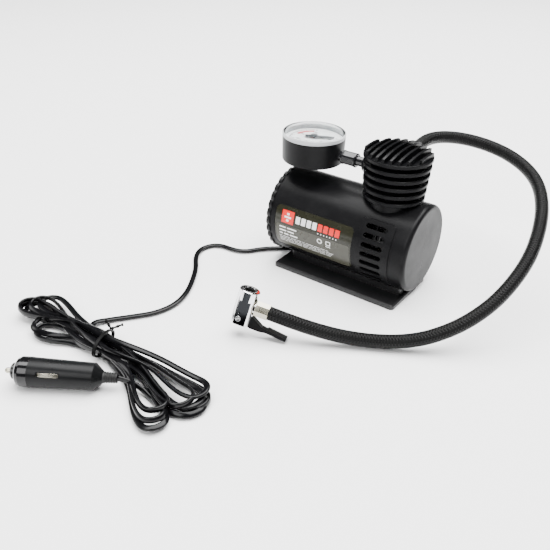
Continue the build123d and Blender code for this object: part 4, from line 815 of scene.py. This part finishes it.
def dial_number(text, angle, radius, size):
    """A number lying on the dial, upright when the gap in the scale is at the bottom."""
    curve = bpy.data.curves.new("number", "FONT")
    curve.body = text
    curve.size = size * MM
    curve.align_x = "CENTER"
    curve.align_y = "CENTER"
    holder = bpy.data.objects.new("number", curve)
    scene.collection.objects.link(holder)
    flat = bpy.data.meshes.new_from_object(holder)
    centre = dial_place(angle, radius, 0.05)
    tilt = Matrix.Rotation(radians(NUMBER_TURN), 3, "Z")
    points = [tilt @ vertex.co + centre for vertex in flat.vertices]
    faces = [tuple(face.vertices) for face in flat.polygons]
    bpy.data.objects.remove(holder)
    bpy.data.curves.remove(curve)
    bpy.data.meshes.remove(flat)
    return new_mesh(f"number_{text}", points, faces, dial_black, smooth=False)


for mark in range(SCALE_MARKS + 1):
    angle = SCALE_START - SCALE_SWEEP * mark / SCALE_MARKS
    reach, half = (17.0, 0.9) if mark % LONG_MARK_EVERY == 0 else (18.4, 0.5)
    dial_arc(f"tick_{mark}", angle - half, angle + half, reach, SCALE_RADIUS, dial_black)
for step in range(LAST_NUMBER + 1):
    angle = SCALE_START - SCALE_SWEEP * step / LAST_NUMBER
    dial_number(str(step * NUMBER_STEP), angle, NUMBER_RADIUS, NUMBER_SIZE)
dial_arc("scale_ring", SCALE_START, SCALE_START - SCALE_SWEEP, SCALE_RADIUS, SCALE_RADIUS + 0.4, dial_black)
WALL_SIDES = 96
wall = []
for k in range(WALL_SIDES):
    turn = 2 * pi * k / WALL_SIDES
    for level in (DIAL_Z + 0.02, WALL_TOP_Z):
        wall.append(Vector((GAUGE_X + WALL_RADIUS * cos(turn), WALL_RADIUS * sin(turn), level)) * MM)
wall_faces = []
for k in range(WALL_SIDES):
    here, after = 2 * k, 2 * ((k + 1) % WALL_SIDES)
    wall_faces.append((here, here + 1, after + 1, after))
new_mesh("gauge_inner_wall", wall, wall_faces, wall_grey)
dial_arc("red_zone", 180, 122, 15.0, 17.6, dial_red, 0.05)

# ---------------------------------------------------------------- tie ends
tie_root = Vector((-88, -203.5, 12.0))
tie_side = 1.1 * MM
tie_rise = 0.35 * MM
strip = [(tie_side, tie_rise), (-tie_side, tie_rise), (-tie_side, -tie_rise), (tie_side, -tie_rise)]
for end, (reach_x, reach_y, reach_z) in enumerate(((-11, 5, 0.5), (3, 9, 0.2))):
    tip = tie_root + Vector((reach_x, reach_y, reach_z))
    line = [tie_root.lerp(tip, k / 10) * MM for k in range(11)]
    twist = [2.4 * k for k in range(11)]
    tube(f"tie_end_{end}", line, strip, lever_black, turn=twist, upright=True)

# ---------------------------------------------------------------- floor and light
floor_material = shader("floor", (0.97, 0.97, 0.97), 0.7)
FLOOR_HALF = 3
floor_points = [(-FLOOR_HALF, -FLOOR_HALF, 0), (FLOOR_HALF, -FLOOR_HALF, 0)]
floor_points += [(FLOOR_HALF, FLOOR_HALF, 0), (-FLOOR_HALF, FLOOR_HALF, 0)]
floor = new_mesh("floor", floor_points, [(0, 1, 2, 3)], floor_material)
floor.parent = None
del floor["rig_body"]
# just below the lowest piece, in metres
floor.location.z = -0.0002

world = bpy.data.worlds.new("studio")
scene.world = world
world.use_nodes = True
world.node_tree.nodes["Background"].inputs["Color"].default_value = (1, 1, 1, 1)
world.node_tree.nodes["Background"].inputs["Strength"].default_value = 0.12


def area_light(name, place, target, size, power):
    """A square soft light at a place, aimed at a target, in metres and watts."""
    data = bpy.data.lights.new(name, "AREA")
    data.shape = "SQUARE"
    data.size = size
    data.energy = power
    lamp = bpy.data.objects.new(name, data)
    lamp.location = place
    lamp.rotation_mode = "QUATERNION"
    lamp.rotation_quaternion = (Vector(target) - Vector(place)).to_track_quat("-Z", "Y")
    scene.collection.objects.link(lamp)
    return lamp


area_light("overhead", (0, 0.5, 2.2), (0, 0.2, 0), 2.8, 310)
area_light("front_softbox", (0.0, -1.5, 1.1), (0, 0, 0.04), 0.9, 20)
area_light("left_fill", (-1.4, -0.6, 0.8), (0, -0.05, 0.05), 0.6, 6)
